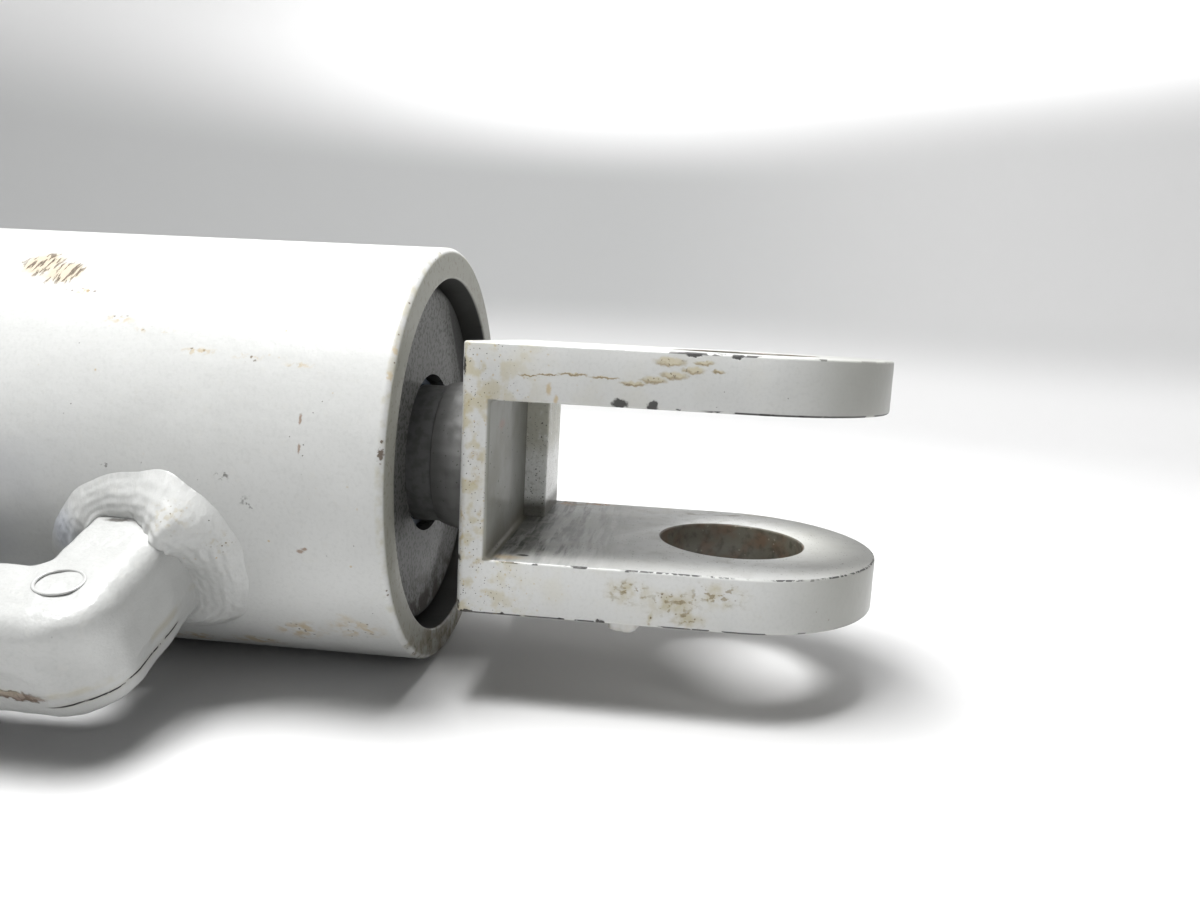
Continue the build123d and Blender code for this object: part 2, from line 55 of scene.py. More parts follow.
def corners_of(node):
    """A CAD node's lowest and highest corners, in millimetres to two decimals."""
    return [[round(value / MM, 2) for value in corner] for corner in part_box(node)]


# Sizes and stations read from the frame
(TUBE_START, _, _), (OPEN_END, _, BARREL_RADIUS) = corners_of("barrel_tube")
(CAP_BACK, _, _), _ = corners_of("base_cap")
_, (_, CLEVIS_HALF_WIDTH, CLEVIS_HALF_HEIGHT) = corners_of("base_clevis")
(ROD_CLEVIS_BACK, _, _), _ = corners_of("rod_clevis")
_, (PAD_FRONT, _, GAP_HALF) = corners_of("rod_clevis_pad")
_, (_, _, ROD_RADIUS) = corners_of("piston_rod")
# The base pin is the origin, and each pin is as far from its own clevis's back
ROD_PIN = ROD_CLEVIS_BACK + CAP_BACK
# How thick each clevis is between its back and its gap
BASE_PLATE = 10.6
ROD_PLATE = 5.6

# Radii and stations that no box shows, the same as in the CAD part
BORE_RADIUS = 38.1
PIN_BORE = 15.3
WIRE_STATION = OPEN_END - 12.0
WIRE_GROOVE = 2.45
ELBOW_AXIS = 65.0
ELBOW_HALF_HEIGHT = 11.0
LEG_INSIDE = 57.5
LEG_OUTSIDE = 72.5
INNER_BEND = 3.0
OUTER_BEND = 10.0
ROOT_OUT = 40.0
# How far below the leg's middle the forging's crease runs
CREASE_DOWN = 3.6
RISER_HALF = 7.8
HEAD_PORT = dict(station=343.8, angle=-23.5, leg=70.0)
BASE_PORT = dict(station=84.2, angle=24.0, leg=44.0)
FLOOR = -BARREL_RADIUS


# ------------------------------------------------------------------ mesh building
def turns(count):
    """Angles in radians, evenly spaced round a full turn."""
    return [2 * math.pi * turn / count for turn in range(count)]


def radial(angle):
    """Unit vector out along a port, square to the barrel's axis."""
    turn = math.radians(angle)
    return Vector((0, -math.cos(turn), math.sin(turn)))


def across(angle):
    """Unit vector square to the barrel's axis and to radial(angle)."""
    turn = math.radians(angle)
    return Vector((0, math.sin(turn), math.cos(turn)))


def link(name, mesh, sharp_above=38):
    """An object for a mesh, smooth except where faces meet at more than an angle."""
    mesh.shade_smooth()
    mesh.set_sharp_from_angle(angle=math.radians(sharp_above))
    piece = bpy.data.objects.new(name, mesh)
    scene.collection.objects.link(piece)
    return piece


def skin(name, rings, capped=False, sharp_above=38):
    """A closed mesh through rings of points: the ends are joined to each other or capped."""
    count = len(rings[0])
    points = [Vector(point) * MM for ring in rings for point in ring]
    joined = len(rings) - 1 if capped else len(rings)
    faces = []
    for ring in range(joined):
        here = ring * count
        there = (ring + 1) % len(rings) * count
        for i in range(count):
            j = (i + 1) % count
            faces.append((here + i, here + j, there + j, there + i))
    if capped:
        faces.append(tuple(range(count)))
        faces.append(tuple(range(joined * count, (joined + 1) * count)))
    mesh = bpy.data.meshes.new(name)
    mesh.from_pydata(points, [], faces)
    form = bmesh.new()
    form.from_mesh(mesh)
    bmesh.ops.recalc_face_normals(form, faces=form.faces)
    form.to_mesh(mesh)
    form.free()
    return link(name, mesh, sharp_above)


def rounded(corners, steps=6, splits=1):
    """A closed outline of (x, y, radius) corners with arcs for corners and divided straight runs."""
    arcs = []
    for i, (x, y, radius) in enumerate(corners):
        here = Vector((x, y))
        to_before = (Vector(corners[i - 1][:2]) - here).normalized()
        to_after = (Vector(corners[(i + 1) % len(corners)][:2]) - here).normalized()
        if radius == 0:
            arcs.append([here])
            continue
        half = to_before.angle(to_after) / 2
        centre = here + (to_before + to_after).normalized() * radius / math.sin(half)
        reach = radius / math.tan(half)
        first = here + to_before * reach - centre
        last = here + to_after * reach - centre
        start = math.atan2(first.y, first.x)
        turn = math.atan2(last.y, last.x) - start
        turn = (turn + math.pi) % (2 * math.pi) - math.pi
        arc = []
        for step in range(steps + 1):
            angle = start + turn * step / steps
            arc.append(centre + Vector((math.cos(angle), math.sin(angle))) * radius)
        arcs.append(arc)
    outline = []
    for i, arc in enumerate(arcs):
        outline += arc
        following = arcs[(i + 1) % len(arcs)][0]
        for split in range(1, splits):
            outline.append(arc[-1].lerp(following, split / splits))
    return outline


def lathe(name, outline, segments, ripple=None):
    """A closed outline of (station, radius) turned about the X axis; ripple may move each point."""
    rings = []
    for angle in turns(segments):
        ring = []
        for station, radius in outline:
            if ripple:
                station, radius = ripple(station, radius, angle)
            ring.append((station, radius * math.cos(angle), radius * math.sin(angle)))
        rings.append(ring)
    return skin(name, rings)


def prism(name, outline, low, high, place):
    """A solid of constant outline; place turns (u, v, height) into a frame point."""
    rings = [[place(u, v, height) for u, v in outline] for height in (low, high)]
    return skin(name, rings, capped=True)


def bake(piece, sharp_above=38):
    """Replace a piece's mesh by the result of its modifiers."""
    graph = bpy.context.evaluated_depsgraph_get()
    done = bpy.data.meshes.new_from_object(piece.evaluated_get(graph))
    piece.modifiers.clear()
    piece.data = done
    done.shade_smooth()
    done.set_sharp_from_angle(angle=math.radians(sharp_above))


def carve(piece, tool, operation):
    """Cut, join or intersect a piece with a tool and drop the tool."""
    modifier = piece.modifiers.new("carve", "BOOLEAN")
    modifier.operation = operation
    modifier.solver = "EXACT"
    modifier.object = tool
    bake(piece)
    bpy.data.objects.remove(tool)


def soften(piece, width):
    """Round a piece's sharp edges."""
    modifier = piece.modifiers.new("soften", "BEVEL")
    modifier.width = width * MM
    modifier.segments = 3
    modifier.limit_method = "ANGLE"
    modifier.angle_limit = math.radians(30)
    modifier.use_clamp_overlap = True
    bake(piece, sharp_above=50)


def arc_points(centre, radius, start, end, steps):
    """Points on an arc between two angles in degrees."""
    points = []
    for step in range(steps + 1):
        angle = math.radians(start + (end - start) * step / steps)
        points.append(Vector(centre) + Vector((math.cos(angle), math.sin(angle))) * radius)
    return points


def unevenness(point, scale, amount):
    """A small seeded offset that varies smoothly from place to place."""
    return noise.noise(Vector(point) * scale) * amount


# ------------------------------------------------------------------ barrel
def build_barrel():
    """The tube with softened end edges, its wire groove, weld groove and the two drilled ports."""
    corners = [
        (TUBE_START, BORE_RADIUS, 0),
        (WIRE_STATION - WIRE_GROOVE, BORE_RADIUS, 0.15),
        (WIRE_STATION - WIRE_GROOVE * 0.7, BORE_RADIUS + WIRE_GROOVE * 0.7, 0.8),
        (WIRE_STATION, BORE_RADIUS + WIRE_GROOVE, 1.2),
        (WIRE_STATION + WIRE_GROOVE * 0.7, BORE_RADIUS + WIRE_GROOVE * 0.7, 0.8),
        (WIRE_STATION + WIRE_GROOVE, BORE_RADIUS, 0.15),
        (OPEN_END, BORE_RADIUS, 0.5),
        (OPEN_END, BARREL_RADIUS, 1.3),
        (TUBE_START + 4, BARREL_RADIUS, 0.3),
        (TUBE_START, 39.2, 0),
    ]
    outline = rounded(corners, steps=5)
    barrel = lathe("barrel_tube_skin", outline, segments=288)
    for port in (HEAD_PORT, BASE_PORT):
        out = radial(port["angle"])
        up = across(port["angle"])
        hole = prism(
            "port_drill",
            arc_points((0, 0), 5.0, 0, 352.5, 47),
            20,
            60,
            lambda u, v, h: Vector((port["station"] + u, 0, 0)) + up * v + out * h,
        )
        carve(barrel, hole, "DIFFERENCE")
    return barrel


def weld_ripple(station, radius, angle):
    """Pushes a ring weld's surface in and out as the overlapping puddles of a turned weld."""
    puddle = abs(math.sin(angle * 46 + math.sin(station * 0.8) * 1.4))
    edge = unevenness((station, math.cos(angle) * 20, math.sin(angle) * 20), 0.15, 0.7)
    if radius > 43:
        radius = min(radius - 0.22 * puddle - 0.1, BARREL_RADIUS - 0.03)
        station += edge
    return station, radius


def build_cap_weld():
    """The closing weld ring between the tube and the base cap."""
    corners = [
        (TUBE_START - 4.6, 43.4, 0.2),
        (TUBE_START - 3.4, BARREL_RADIUS - 0.05, 1.0),
        (TUBE_START + 3.4, BARREL_RADIUS - 0.05, 1.0),
        (TUBE_START + 4.6, 43.4, 0.2),
        (TUBE_START, 39.6, 0.2),
    ]
    return lathe("base_cap_weld_bead", rounded(corners, steps=4, splits=4), 720, weld_ripple)


def rod_weld_ripple(station, radius, angle):
    """Light circular ripples on the weld cone that joins the rod to its clevis."""
    if radius > ROD_RADIUS + 0.2:
        wave = math.sin(station * 2.6 + angle * 2) * 0.05 + math.sin(angle * 34) * 0.04
        lump = unevenness((station, math.cos(angle) * 16, math.sin(angle) * 16), 0.2, 0.3)
        radius += wave + lump
    return station, radius


def build_rod_weld():
    """The weld cone at the end of the rod."""
    corners = [
        (OPEN_END - 0.5, ROD_RADIUS - 0.4, 0),
        (OPEN_END - 0.5, ROD_RADIUS + 0.5, 0.4),
        (OPEN_END + 3.0, ROD_RADIUS + 1.3, 3.0),
        (ROD_CLEVIS_BACK - 3, ROD_RADIUS + 2.1, 3.0),
        (ROD_CLEVIS_BACK + 0.6, ROD_RADIUS + 3.4, 0.2),
        (ROD_CLEVIS_BACK + 0.6, ROD_RADIUS - 0.4, 0),
    ]
    return lathe("rod_clevis_weld_bead", rounded(corners, 5, 4), 220, rod_weld_ripple)


# ------------------------------------------------------------------ clevises
def build_yoke(name, pin, back, plate):
    """A square yoke with half-round arms, bored through both and with softened edges."""
    away = 1 if pin > back else -1
    far = pin + away * (CLEVIS_HALF_WIDTH + 6)
    gap = back + away * plate
    side = [
        (back, -CLEVIS_HALF_HEIGHT, 0),
        (far, -CLEVIS_HALF_HEIGHT, 0),
        (far, -GAP_HALF, 0),
        (gap, -GAP_HALF, 0.9),
        (gap, GAP_HALF, 0.9),
        (far, GAP_HALF, 0),
        (far, CLEVIS_HALF_HEIGHT, 0),
        (back, CLEVIS_HALF_HEIGHT, 0),
    ]
    yoke = prism(name, rounded(side, 4), -40, 40, lambda u, v, h: (u, h, v))
    corner = (back, -CLEVIS_HALF_WIDTH, 1.6), (back, CLEVIS_HALF_WIDTH, 1.6)
    plan = rounded([(pin, -CLEVIS_HALF_WIDTH, 0), *corner, (pin, CLEVIS_HALF_WIDTH, 0)], 5)
    turn = (90, -90) if away > 0 else (90, 270)
    plan += arc_points((pin, 0), CLEVIS_HALF_WIDTH, *turn, 96)[1:-1]
    over_height = CLEVIS_HALF_HEIGHT + 4
    outline = prism("yoke_plan", plan, -over_height, over_height, lambda u, v, h: (u, v, h))
    carve(yoke, outline, "INTERSECT")
    bore_outline = arc_points((pin, 0), PIN_BORE, 0, 357.5, 143)
    bore = prism("yoke_bore", bore_outline, -40, 40, lambda u, v, h: (u, v, h))
    carve(yoke, bore, "DIFFERENCE")
    soften(yoke, 0.5)
    return yoke


def build_pad():
    """The thicker half of the rod clevis's base, left proud of the near half."""
    corners = [
        (ROD_CLEVIS_BACK + 4, 9.2, 0),
        (PAD_FRONT, 9.2, 0.5),
        (PAD_FRONT, 29.6, 0.5),
        (ROD_CLEVIS_BACK + 4, 29.6, 0),
    ]
    return prism(
        "rod_clevis_pad_block",
        rounded(corners, 4, 10),
        -GAP_HALF - 0.3,
        GAP_HALF + 0.3,
        lambda u, v, h: (u + (unevenness((u, v, h), 0.3, 0.3) if u > PAD_FRONT - 1 else 0), v, h),
    )


def build_nub():
    """A small drip of weld under the rod clevis's lower arm."""
    middle_x, middle_y = 429.3, -24.8
    profile = [(-25.2, 3.2), (-25.7, 3.0), (-26.2, 2.6), (-27.2, 2.5)]
    profile += [(-28.0, 2.2), (-28.4, 1.5), (-28.55, 0.5)]
    rings = []
    for height, radius in profile:
        ring = []
        for angle in turns(28):
            reach = radius + unevenness((math.cos(angle) * 3, math.sin(angle) * 3, height), 0.5, 0.9)
            x = middle_x + reach * 1.15 * math.cos(angle)
            y = middle_y + reach * 0.9 * math.sin(angle)
            ring.append((x, y, height))
        rings.append(ring)
    return skin("rod_clevis_nub_drip", rings, capped=True)


def build_base_weld():
    """A stacked bead of weld round the base clevis's foot."""
    half_width = CLEVIS_HALF_WIDTH + 1.6
    half_height = CLEVIS_HALF_HEIGHT + 1.6
    path = rounded(
        [
            (-half_width, -half_height, 3.5),
            (half_width, -half_height, 3.5),
            (half_width, half_height, 3.5),
            (-half_width, half_height, 3.5),
        ],
        steps=12,
        splits=90,
    )
    rings = []
    for i, middle in enumerate(path):
        along = (path[(i + 1) % len(path)] - path[i - 1]).normalized()
        out = Vector((along.y, -along.x))
        puddle = abs(math.sin(i * 0.42))
        swell = 3.0 + 0.22 * puddle + unevenness((middle.x, middle.y, 0), 0.12, 0.5)
        ring = []
        for angle in turns(14):
            reach = out * swell * math.cos(angle)
            station = CAP_BACK - 1.4 - swell * 0.95 * math.sin(angle)
            ring.append((station, middle.x + reach.x, middle.y + reach.y))
        rings.append(ring)
    return skin("base_clevis_weld_bead", rings)


# ------------------------------------------------------------------ port elbows
def elbow_point(port, x, out, up):
    """A frame point from a port's own directions: along X, out from the barrel and across the leg."""
    along = Vector((port["station"] + x, 0, 0))
    return along + radial(port["angle"]) * out + across(port["angle"]) * up


def elbow_stations(leg):
    """Pairs of (x, out) points on the inner and outer outline of the elbow, root to leg end."""
    pairs = []
    inner_bend = arc_points((-RISER_HALF - INNER_BEND, LEG_INSIDE - INNER_BEND), INNER_BEND, 0, 90, 24)
    outer_bend = arc_points((RISER_HALF - OUTER_BEND, LEG_OUTSIDE - OUTER_BEND), OUTER_BEND, 0, 90, 24)
    root_steps = 14
    for step in range(root_steps):
        share = step / root_steps
        inner = Vector((-RISER_HALF, ROOT_OUT)).lerp(inner_bend[0], share)
        outer = Vector((RISER_HALF, ROOT_OUT)).lerp(outer_bend[0], share)
        pairs.append((inner, outer))
    pairs += list(zip(inner_bend, outer_bend))
    leg_steps = 40
    for step in range(1, leg_steps + 1):
        share = step / leg_steps
        inner = inner_bend[-1].lerp(Vector((-leg, LEG_INSIDE)), share)
        outer = outer_bend[-1].lerp(Vector((-leg, LEG_OUTSIDE)), share)
        pairs.append((inner, outer))
    return pairs


def build_elbow(name, port):
    """A forged elbow body: flat top, soft outer edge, parting crease low on the outer side."""
    rings = []
    for inner, outer in elbow_stations(port["leg"]):
        width = (outer - inner).length
        across_leg = (outer - inner) / width
        half = ELBOW_HALF_HEIGHT
        section = rounded(
            [
                (0, half, 1.6),
                (width, half, 3.4),
                (width, -CREASE_DOWN, 0.8),
                (width - 1.3, -half, 2.8),
                (0, -half, 3.6),
            ],
            steps=6,
            splits=7,
        )
        middle = Vector((width / 2, 0))
        ring = []
        for point in section:
            place = inner + across_leg * point.x
            spot = elbow_point(port, place.x, place.y, point.y)
            away = (point - middle).normalized()
            lump = unevenness(spot, 0.13, 0.6) + unevenness(spot, 0.4, 0.2)
            crown = 0.35 * (1 - (2 * point.x / width - 1) ** 2) if abs(point.y) > half - 0.1 else 0
            moved = point + away * (lump - 0.25)
            moved.y += math.copysign(crown, point.y) - math.copysign(0.25, point.y)
            place = inner + across_leg * moved.x
            ring.append(elbow_point(port, place.x, place.y, moved.y))
        rings.append(ring)
    return skin(name, rings, capped=True, sharp_above=60)


def build_boss(name, port):
    """The round end of an elbow with its chamfered mouth and cut thread."""
    start = -port["leg"] + 5.0
    mouth = -port["leg"] - 22.0
    pitch = 1.5875
    bore_radius = 8.75
    thread_depth, crest_flat = 0.95, 0.12
    thread_end = mouth + 15.0
    thread_start = mouth + 1.6
    steps = 84
    stations = [thread_start + (thread_end - thread_start) * step / steps for step in range(steps + 1)]
    outline = [(start, 5.2), (start, 12.6), (start - 4.2, 12.9), (start - 5.6, 13.7)]
    outline += [(start - 7.0, 13.95), (mouth + 9, 13.95), (mouth + 1.2, 13.95), (mouth + 0.5, 13.7)]
    outline += [(mouth + 0.1, 13.1), (mouth, 12.6), (mouth, 10.9), (mouth + 0.15, 10.6), (mouth + 1.6, 9.4)]
    rings = []
    for angle in turns(96):
        ring = list(outline)
        for x in stations:
            phase = (x / pitch + angle / (2 * math.pi)) % 1
            depth = thread_depth * (1 - abs(2 * phase - 1)) * min(1, (thread_end - x) / pitch)
            ring.append((x, bore_radius + max(0.0, depth - crest_flat)))
        ring += [(thread_end + 0.1, 8.7), (thread_end + 1.8, 5.0), (start - 1, 5.0)]
        rings.append(
            [
                elbow_point(port, x, ELBOW_AXIS + r * math.cos(angle), r * math.sin(angle))
                for x, r in ring
            ]
        )
    return skin(name, rings)


def build_forge_mark(name, port):
    """A plain raised oval ring on the elbow's flat top."""
    middle_x, middle_out = -1.6, 62.2
    half_long, half_short = 3.9, 2.9
    line_width, line_height = 0.085, 0.26
    rings = []
    for angle in turns(72):
        ring = []
        for tilt in turns(10):
            reach = 1 + line_width * math.cos(tilt)
            rise = line_height * math.sin(tilt)
            x = middle_x + half_long * reach * math.cos(angle)
            out = middle_out + half_short * reach * math.sin(angle)
            ring.append(elbow_point(port, x, out, ELBOW_HALF_HEIGHT - 0.02 + rise))
        rings.append(ring)
    return skin(name, rings)


def between(table, value):
    """A value read smoothly from a table of (key, value) pairs in rising key order."""
    for (low_key, low), (high_key, high) in zip(table, table[1:]):
        if low_key <= value <= high_key:
            share = (value - low_key) / (high_key - low_key)
            share = share * share * (3 - 2 * share)
            return low + (high - low) * share
    return table[-1][1]


# The weld's radius at its foot, and its half sizes where it meets the riser
WELD_FOOT = 18.6
WELD_INNER_X = 7.2
WELD_INNER_UP = 10.4
# How far out from the barrel's axis the weld reaches on the riser, by angle in degrees from +X
WELD_CROWN = [
    (0, 45.2),
    (25, 46.9),
    (46, 49.3),
    (57, 50.2),
    (68, 48.2),
    (78, 46.2),
    (92, 44.9),
    (115, 44.9),
    (140, 46.3),
    (180, 47.0),
    (225, 46.0),
    (270, 44.9),
    (327, 44.7),
    (360, 45.2),
]
# Small raised lumps on the weld: angle, share of the way up, height and width in degrees
WELD_LUMPS = [
    (44, 0.96, 0.6, 3.0),
    (51, 0.93, 0.8, 3.4),
    (57, 1.0, 0.7, 3.0),
    (62, 0.94, 0.7, 3.0),
    (69, 0.99, 0.6, 4.0),
    (77, 0.95, 0.5, 4.0),
    (128, 0.75, 0.4, 9.0),
    (160, 0.5, 0.5, 14.0),
    (205, 0.7, 0.5, 9.0),
    (300, 0.6, 0.4, 9.0),
]


def build_port_weld(name, port):
    """The built-up weld round an elbow's riser: shallow passes that follow the barrel's curve."""
    levels = 44
    rings = []
    for turn in range(240):
        degrees = 360 * turn / 240
        x_share = math.cos(math.radians(degrees))
        up_share = math.sin(math.radians(degrees))
        wander = unevenness((x_share * 3, up_share * 3, port["station"]), 0.8, 1.1)
        foot = WELD_FOOT + wander + 0.5 * math.sin(2 * math.radians(degrees))
        corner = (abs(x_share / WELD_INNER_X) ** 5 + abs(up_share / WELD_INNER_UP) ** 5) ** -0.2
        corner_ground = math.sqrt(BARREL_RADIUS**2 - (corner * up_share) ** 2)
        top = max(between(WELD_CROWN, degrees) - corner_ground, 0.8)
        ring = []
        for level in range(levels + 1):
            share = level / levels
            reach = foot + (corner - foot) * share
            height = reach * up_share
            ground = math.sqrt(BARREL_RADIUS**2 - height**2)
            rise = top * share**1.1 + (0.75 + 0.25 * top) * math.sin(math.pi * min(1, share * 1.05)) ** 0.8
            grooves = 0.035 * math.sin(share * 34 + 2.2 * math.sin(math.radians(degrees) * 1.5))
            swell = unevenness((reach * x_share, height, port["angle"]), 0.12, 0.55)
            fine = unevenness((reach * x_share * 1.5, height * 1.5, 3), 0.6, 0.14)
            lump = 0
            for where, level_share, size, width in WELD_LUMPS:
                gap = (degrees - where + 180) % 360 - 180
                lump += size * math.exp(-((gap / width) ** 2) - ((share - level_share) / 0.07) ** 2)
            blend = min(1, share * 6)
            out = ground - 0.15 + rise + (grooves + swell + fine + lump) * blend
            ring.append(elbow_point(port, reach * x_share, out, height))
        inner = 5.4
        ring.append(elbow_point(port, inner * x_share, out - 0.8, inner * up_share))
        ring.append(elbow_point(port, inner * x_share, 41.5, inner * up_share))
        foot_up = foot * up_share
        under = math.sqrt(BARREL_RADIUS**2 - foot_up**2) - 1.6
        ring.append(elbow_point(port, (foot - 0.6) * x_share, under, foot_up * 0.97))
        rings.append(ring)
    return skin(name, rings, sharp_above=60)


# ------------------------------------------------------------------ materials
class Look:
    """A material whose nodes are added by short calls. Places are millimetres in the frame."""

    def __init__(self, name, metallic=0.0, coat=0.0):
        self.material = bpy.data.materials.new(name)
        self.material.use_nodes = True
        self.tree = self.material.node_tree
        self.shader = self.tree.nodes["Principled BSDF"]
        self.shader.inputs["Metallic"].default_value = metallic
        self.shader.inputs["Coat Weight"].default_value = coat
        self.shader.inputs["Coat Roughness"].default_value = 0.12
        coordinates = self.tree.nodes.new("ShaderNodeTexCoord")
        self.place = self.vector("MULTIPLY", coordinates.outputs["Object"], (1000, 1000, 1000))
        split = self.tree.nodes.new("ShaderNodeSeparateXYZ")
        self.tree.links.new(self.place, split.inputs[0])
        self.x, self.y, self.z = split.outputs
        self.colour = None
        self.rough = None
        self.height = None

    def feed(self, socket, value):
        """Link an output or set a value."""
        if isinstance(value, bpy.types.NodeSocket):
            self.tree.links.new(value, socket)
        else:
            socket.default_value = value

    def math(self, operation, a, b=0.0):
        """A maths node's result."""
        node = self.tree.nodes.new("ShaderNodeMath")
        node.operation = operation
        self.feed(node.inputs[0], a)
        self.feed(node.inputs[1], b)
        return node.outputs[0]

    def vector(self, operation, a, b=(0, 0, 0)):
        """A vector maths node's result."""
        node = self.tree.nodes.new("ShaderNodeVectorMath")
        node.operation = operation
        self.feed(node.inputs[0], a)
        self.feed(node.inputs[1], b)
        return node.outputs["Value" if operation in ("LENGTH", "DOT_PRODUCT", "DISTANCE") else "Vector"]

    def noise(self, scale, detail=3.0, stretch=(1, 1, 1), offset=0.0):
        """Smooth noise from 0 to 1 with about scale features per millimetre."""
        node = self.tree.nodes.new("ShaderNodeTexNoise")
        node.inputs["Scale"].default_value = scale
        node.inputs["Detail"].default_value = detail
        place = self.vector("MULTIPLY", self.place, stretch)
        place = self.vector("ADD", place, (offset, offset * 2, -offset))
        self.tree.links.new(place, node.inputs["Vector"])
        return node.outputs[0]

    def step(self, value, low, high):
        """0 below low, 1 above high and smooth between; low may be above high."""
        node = self.tree.nodes.new("ShaderNodeMapRange")
        node.interpolation_type = "SMOOTHSTEP"
        self.feed(node.inputs["Value"], value)
        flip = low > high
        node.inputs["From Min"].default_value = min(low, high)
        node.inputs["From Max"].default_value = max(low, high)
        node.inputs["To Min"].default_value = 1.0 if flip else 0.0
        node.inputs["To Max"].default_value = 0.0 if flip else 1.0
        return node.outputs["Result"]

    def from_axis(self, axis="x", at=0.0):
        """Distance from the barrel's axis, or from a pin's axis at a station."""
        keep = (0, 1, 1) if axis == "x" else (1, 1, 0)
        gap = self.vector("SUBTRACT", self.place, (at, 0, 0))
        return self.vector("LENGTH", self.vector("MULTIPLY", gap, keep))

    def both(self, *masks):
        """The product of masks."""
        result = masks[0]
        for mask in masks[1:]:
            result = self.math("MULTIPLY", result, mask)
        return result

    def either(self, *masks):
        """The largest of masks."""
        result = masks[0]
        for mask in masks[1:]:
            result = self.math("MAXIMUM", result, mask)
        return result

    def specks(self, scale, size, share):
        """Scattered dots: cells per millimetre, dot size in cells and the share of cells that have one."""
        node = self.tree.nodes.new("ShaderNodeTexVoronoi")
        node.inputs["Scale"].default_value = scale
        node.inputs["Randomness"].default_value = 1.0
        self.tree.links.new(self.warped(1.2, 0.5), node.inputs["Vector"])
        dot = self.step(node.outputs["Distance"], size, size * 0.6)
        split = self.tree.nodes.new("ShaderNodeSeparateColor")
        self.tree.links.new(node.outputs["Color"], split.inputs[0])
        return self.both(dot, self.step(split.outputs[0], 1 - share - 0.001, 1 - share))

    def warped(self, scale, amount):
        """The place, pushed about by noise so that what is drawn from it has ragged edges."""
        node = self.tree.nodes.new("ShaderNodeTexNoise")
        node.inputs["Scale"].default_value = scale
        node.inputs["Detail"].default_value = 4.0
        self.tree.links.new(self.place, node.inputs["Vector"])
        push = self.vector("SUBTRACT", node.outputs["Color"], (0.5, 0.5, 0.5))
        push = self.vector("MULTIPLY", push, (amount, amount, amount))
        return self.vector("ADD", self.place, push)

    def spots(self, places, ragged=1.0, grain=1.4, soft=0.5):
        """Ragged patches at ((x, y, z), (half sizes)) places."""
        place = self.warped(grain, ragged)
        result = None
        for centre, halves in places:
            gap = self.vector("SUBTRACT", place, centre)
            gap = self.vector("DIVIDE", gap, halves)
            mask = self.step(self.vector("LENGTH", gap), 1.0, 1.0 - soft)
            result = mask if result is None else self.either(result, mask)
        return result

    def opaque(self, colour):
        """A colour socket as it is, or an (r, g, b) colour with full alpha."""
        return (*colour, 1) if isinstance(colour, tuple) else colour

    def base(self, colour, rough):
        """Start from one colour and roughness."""
        self.colour = colour
        self.rough = rough

    def layer(self, mask, colour=None, rough=None, strength=1.0):
        """Lay a colour or a roughness over what is there, where the mask says."""
        if strength != 1.0:
            mask = self.math("MULTIPLY", mask, strength)
        if colour is not None:
            node = self.tree.nodes.new("ShaderNodeMix")
            node.data_type = "RGBA"
            self.feed(node.inputs[0], mask)
            self.feed(node.inputs[6], self.opaque(self.colour))
            self.feed(node.inputs[7], (*colour, 1))
            self.colour = node.outputs[2]
        if rough is not None:
            node = self.tree.nodes.new("ShaderNodeMix")
            node.data_type = "FLOAT"
            self.feed(node.inputs[0], mask)
            self.feed(node.inputs[2], self.rough)
            self.feed(node.inputs[3], rough)
            self.rough = node.outputs[0]

    def mottle(self, mask, grain, edges, colour, rough, strength=1.0):
        """Inside a mask, lay a colour where noise of a (scale, detail, offset) grain is past its edges."""
        scale, detail, offset = grain
        patches = self.step(self.noise(scale, detail, offset=offset), *edges)
        self.layer(self.both(mask, patches), colour, rough, strength)

    def speckle(self, mask, dots, colour, rough, strength=1.0):
        """Inside a mask, lay a colour on scattered (scale, size, share) dots."""
        self.layer(self.both(mask, self.specks(*dots)), colour, rough, strength)

    def raise_by(self, value, amount):
        """Add to the bump height, in millimetres."""
        added = self.math("MULTIPLY", value, amount)
        self.height = added if self.height is None else self.math("ADD", self.height, added)

    def finish(self):
        """Connect colour, roughness and bump to the shader."""
        self.feed(self.shader.inputs["Base Color"], self.opaque(self.colour))
        self.feed(self.shader.inputs["Roughness"], self.rough)
        if self.height is not None:
            bump = self.tree.nodes.new("ShaderNodeBump")
            bump.inputs["Distance"].default_value = MM
            self.tree.links.new(self.height, bump.inputs["Height"])
            self.tree.links.new(bump.outputs[0], self.shader.inputs["Normal"])
        return self.material


PAINT = (0.535, 0.54, 0.53)
PAINT_SHADE = (0.46, 0.465, 0.455)
OCHRE = (0.42, 0.33, 0.19)
RUST = (0.20, 0.11, 0.055)
BROWN = (0.115, 0.085, 0.06)
GRIME = (0.055, 0.05, 0.042)
BLACK = (0.018, 0.017, 0.016)


def enamel(name, peel=1.0, shade=1.0):
    """Light grey enamel with orange peel, faint tone drift, fine dust specks and small nicks."""
    look = Look(name, coat=0.25)
    look.base(tuple(part * shade for part in PAINT), 0.34)
    darker = tuple(part * shade for part in PAINT_SHADE)
    look.layer(look.step(look.noise(0.035, 4), 0.35, 0.7), darker, 0.42, 0.55)
    look.layer(look.step(look.noise(0.6, 5), 0.55, 0.75), (0.5, 0.49, 0.45), strength=0.18)
    grain = tuple(part * 0.72 for part in darker)
    look.layer(look.step(look.noise(1.5, 4, offset=5), 0.45, 0.75), grain, strength=0.17)
    look.raise_by(look.noise(0.5, 2), 0.045 * peel)
    look.raise_by(look.noise(0.11, 2), 0.16 * peel)
    look.raise_by(look.noise(2.4, 3), 0.012 * peel)
    thin = look.step(look.noise(0.05, 3, offset=7), 0.5, 0.66)
    look.layer(look.both(look.specks(0.55, 0.16, 0.16), thin), OCHRE, 0.6, 0.75)
    look.layer(look.both(look.specks(0.8, 0.13, 0.10), thin), GRIME, 0.6, 0.8)
    return look


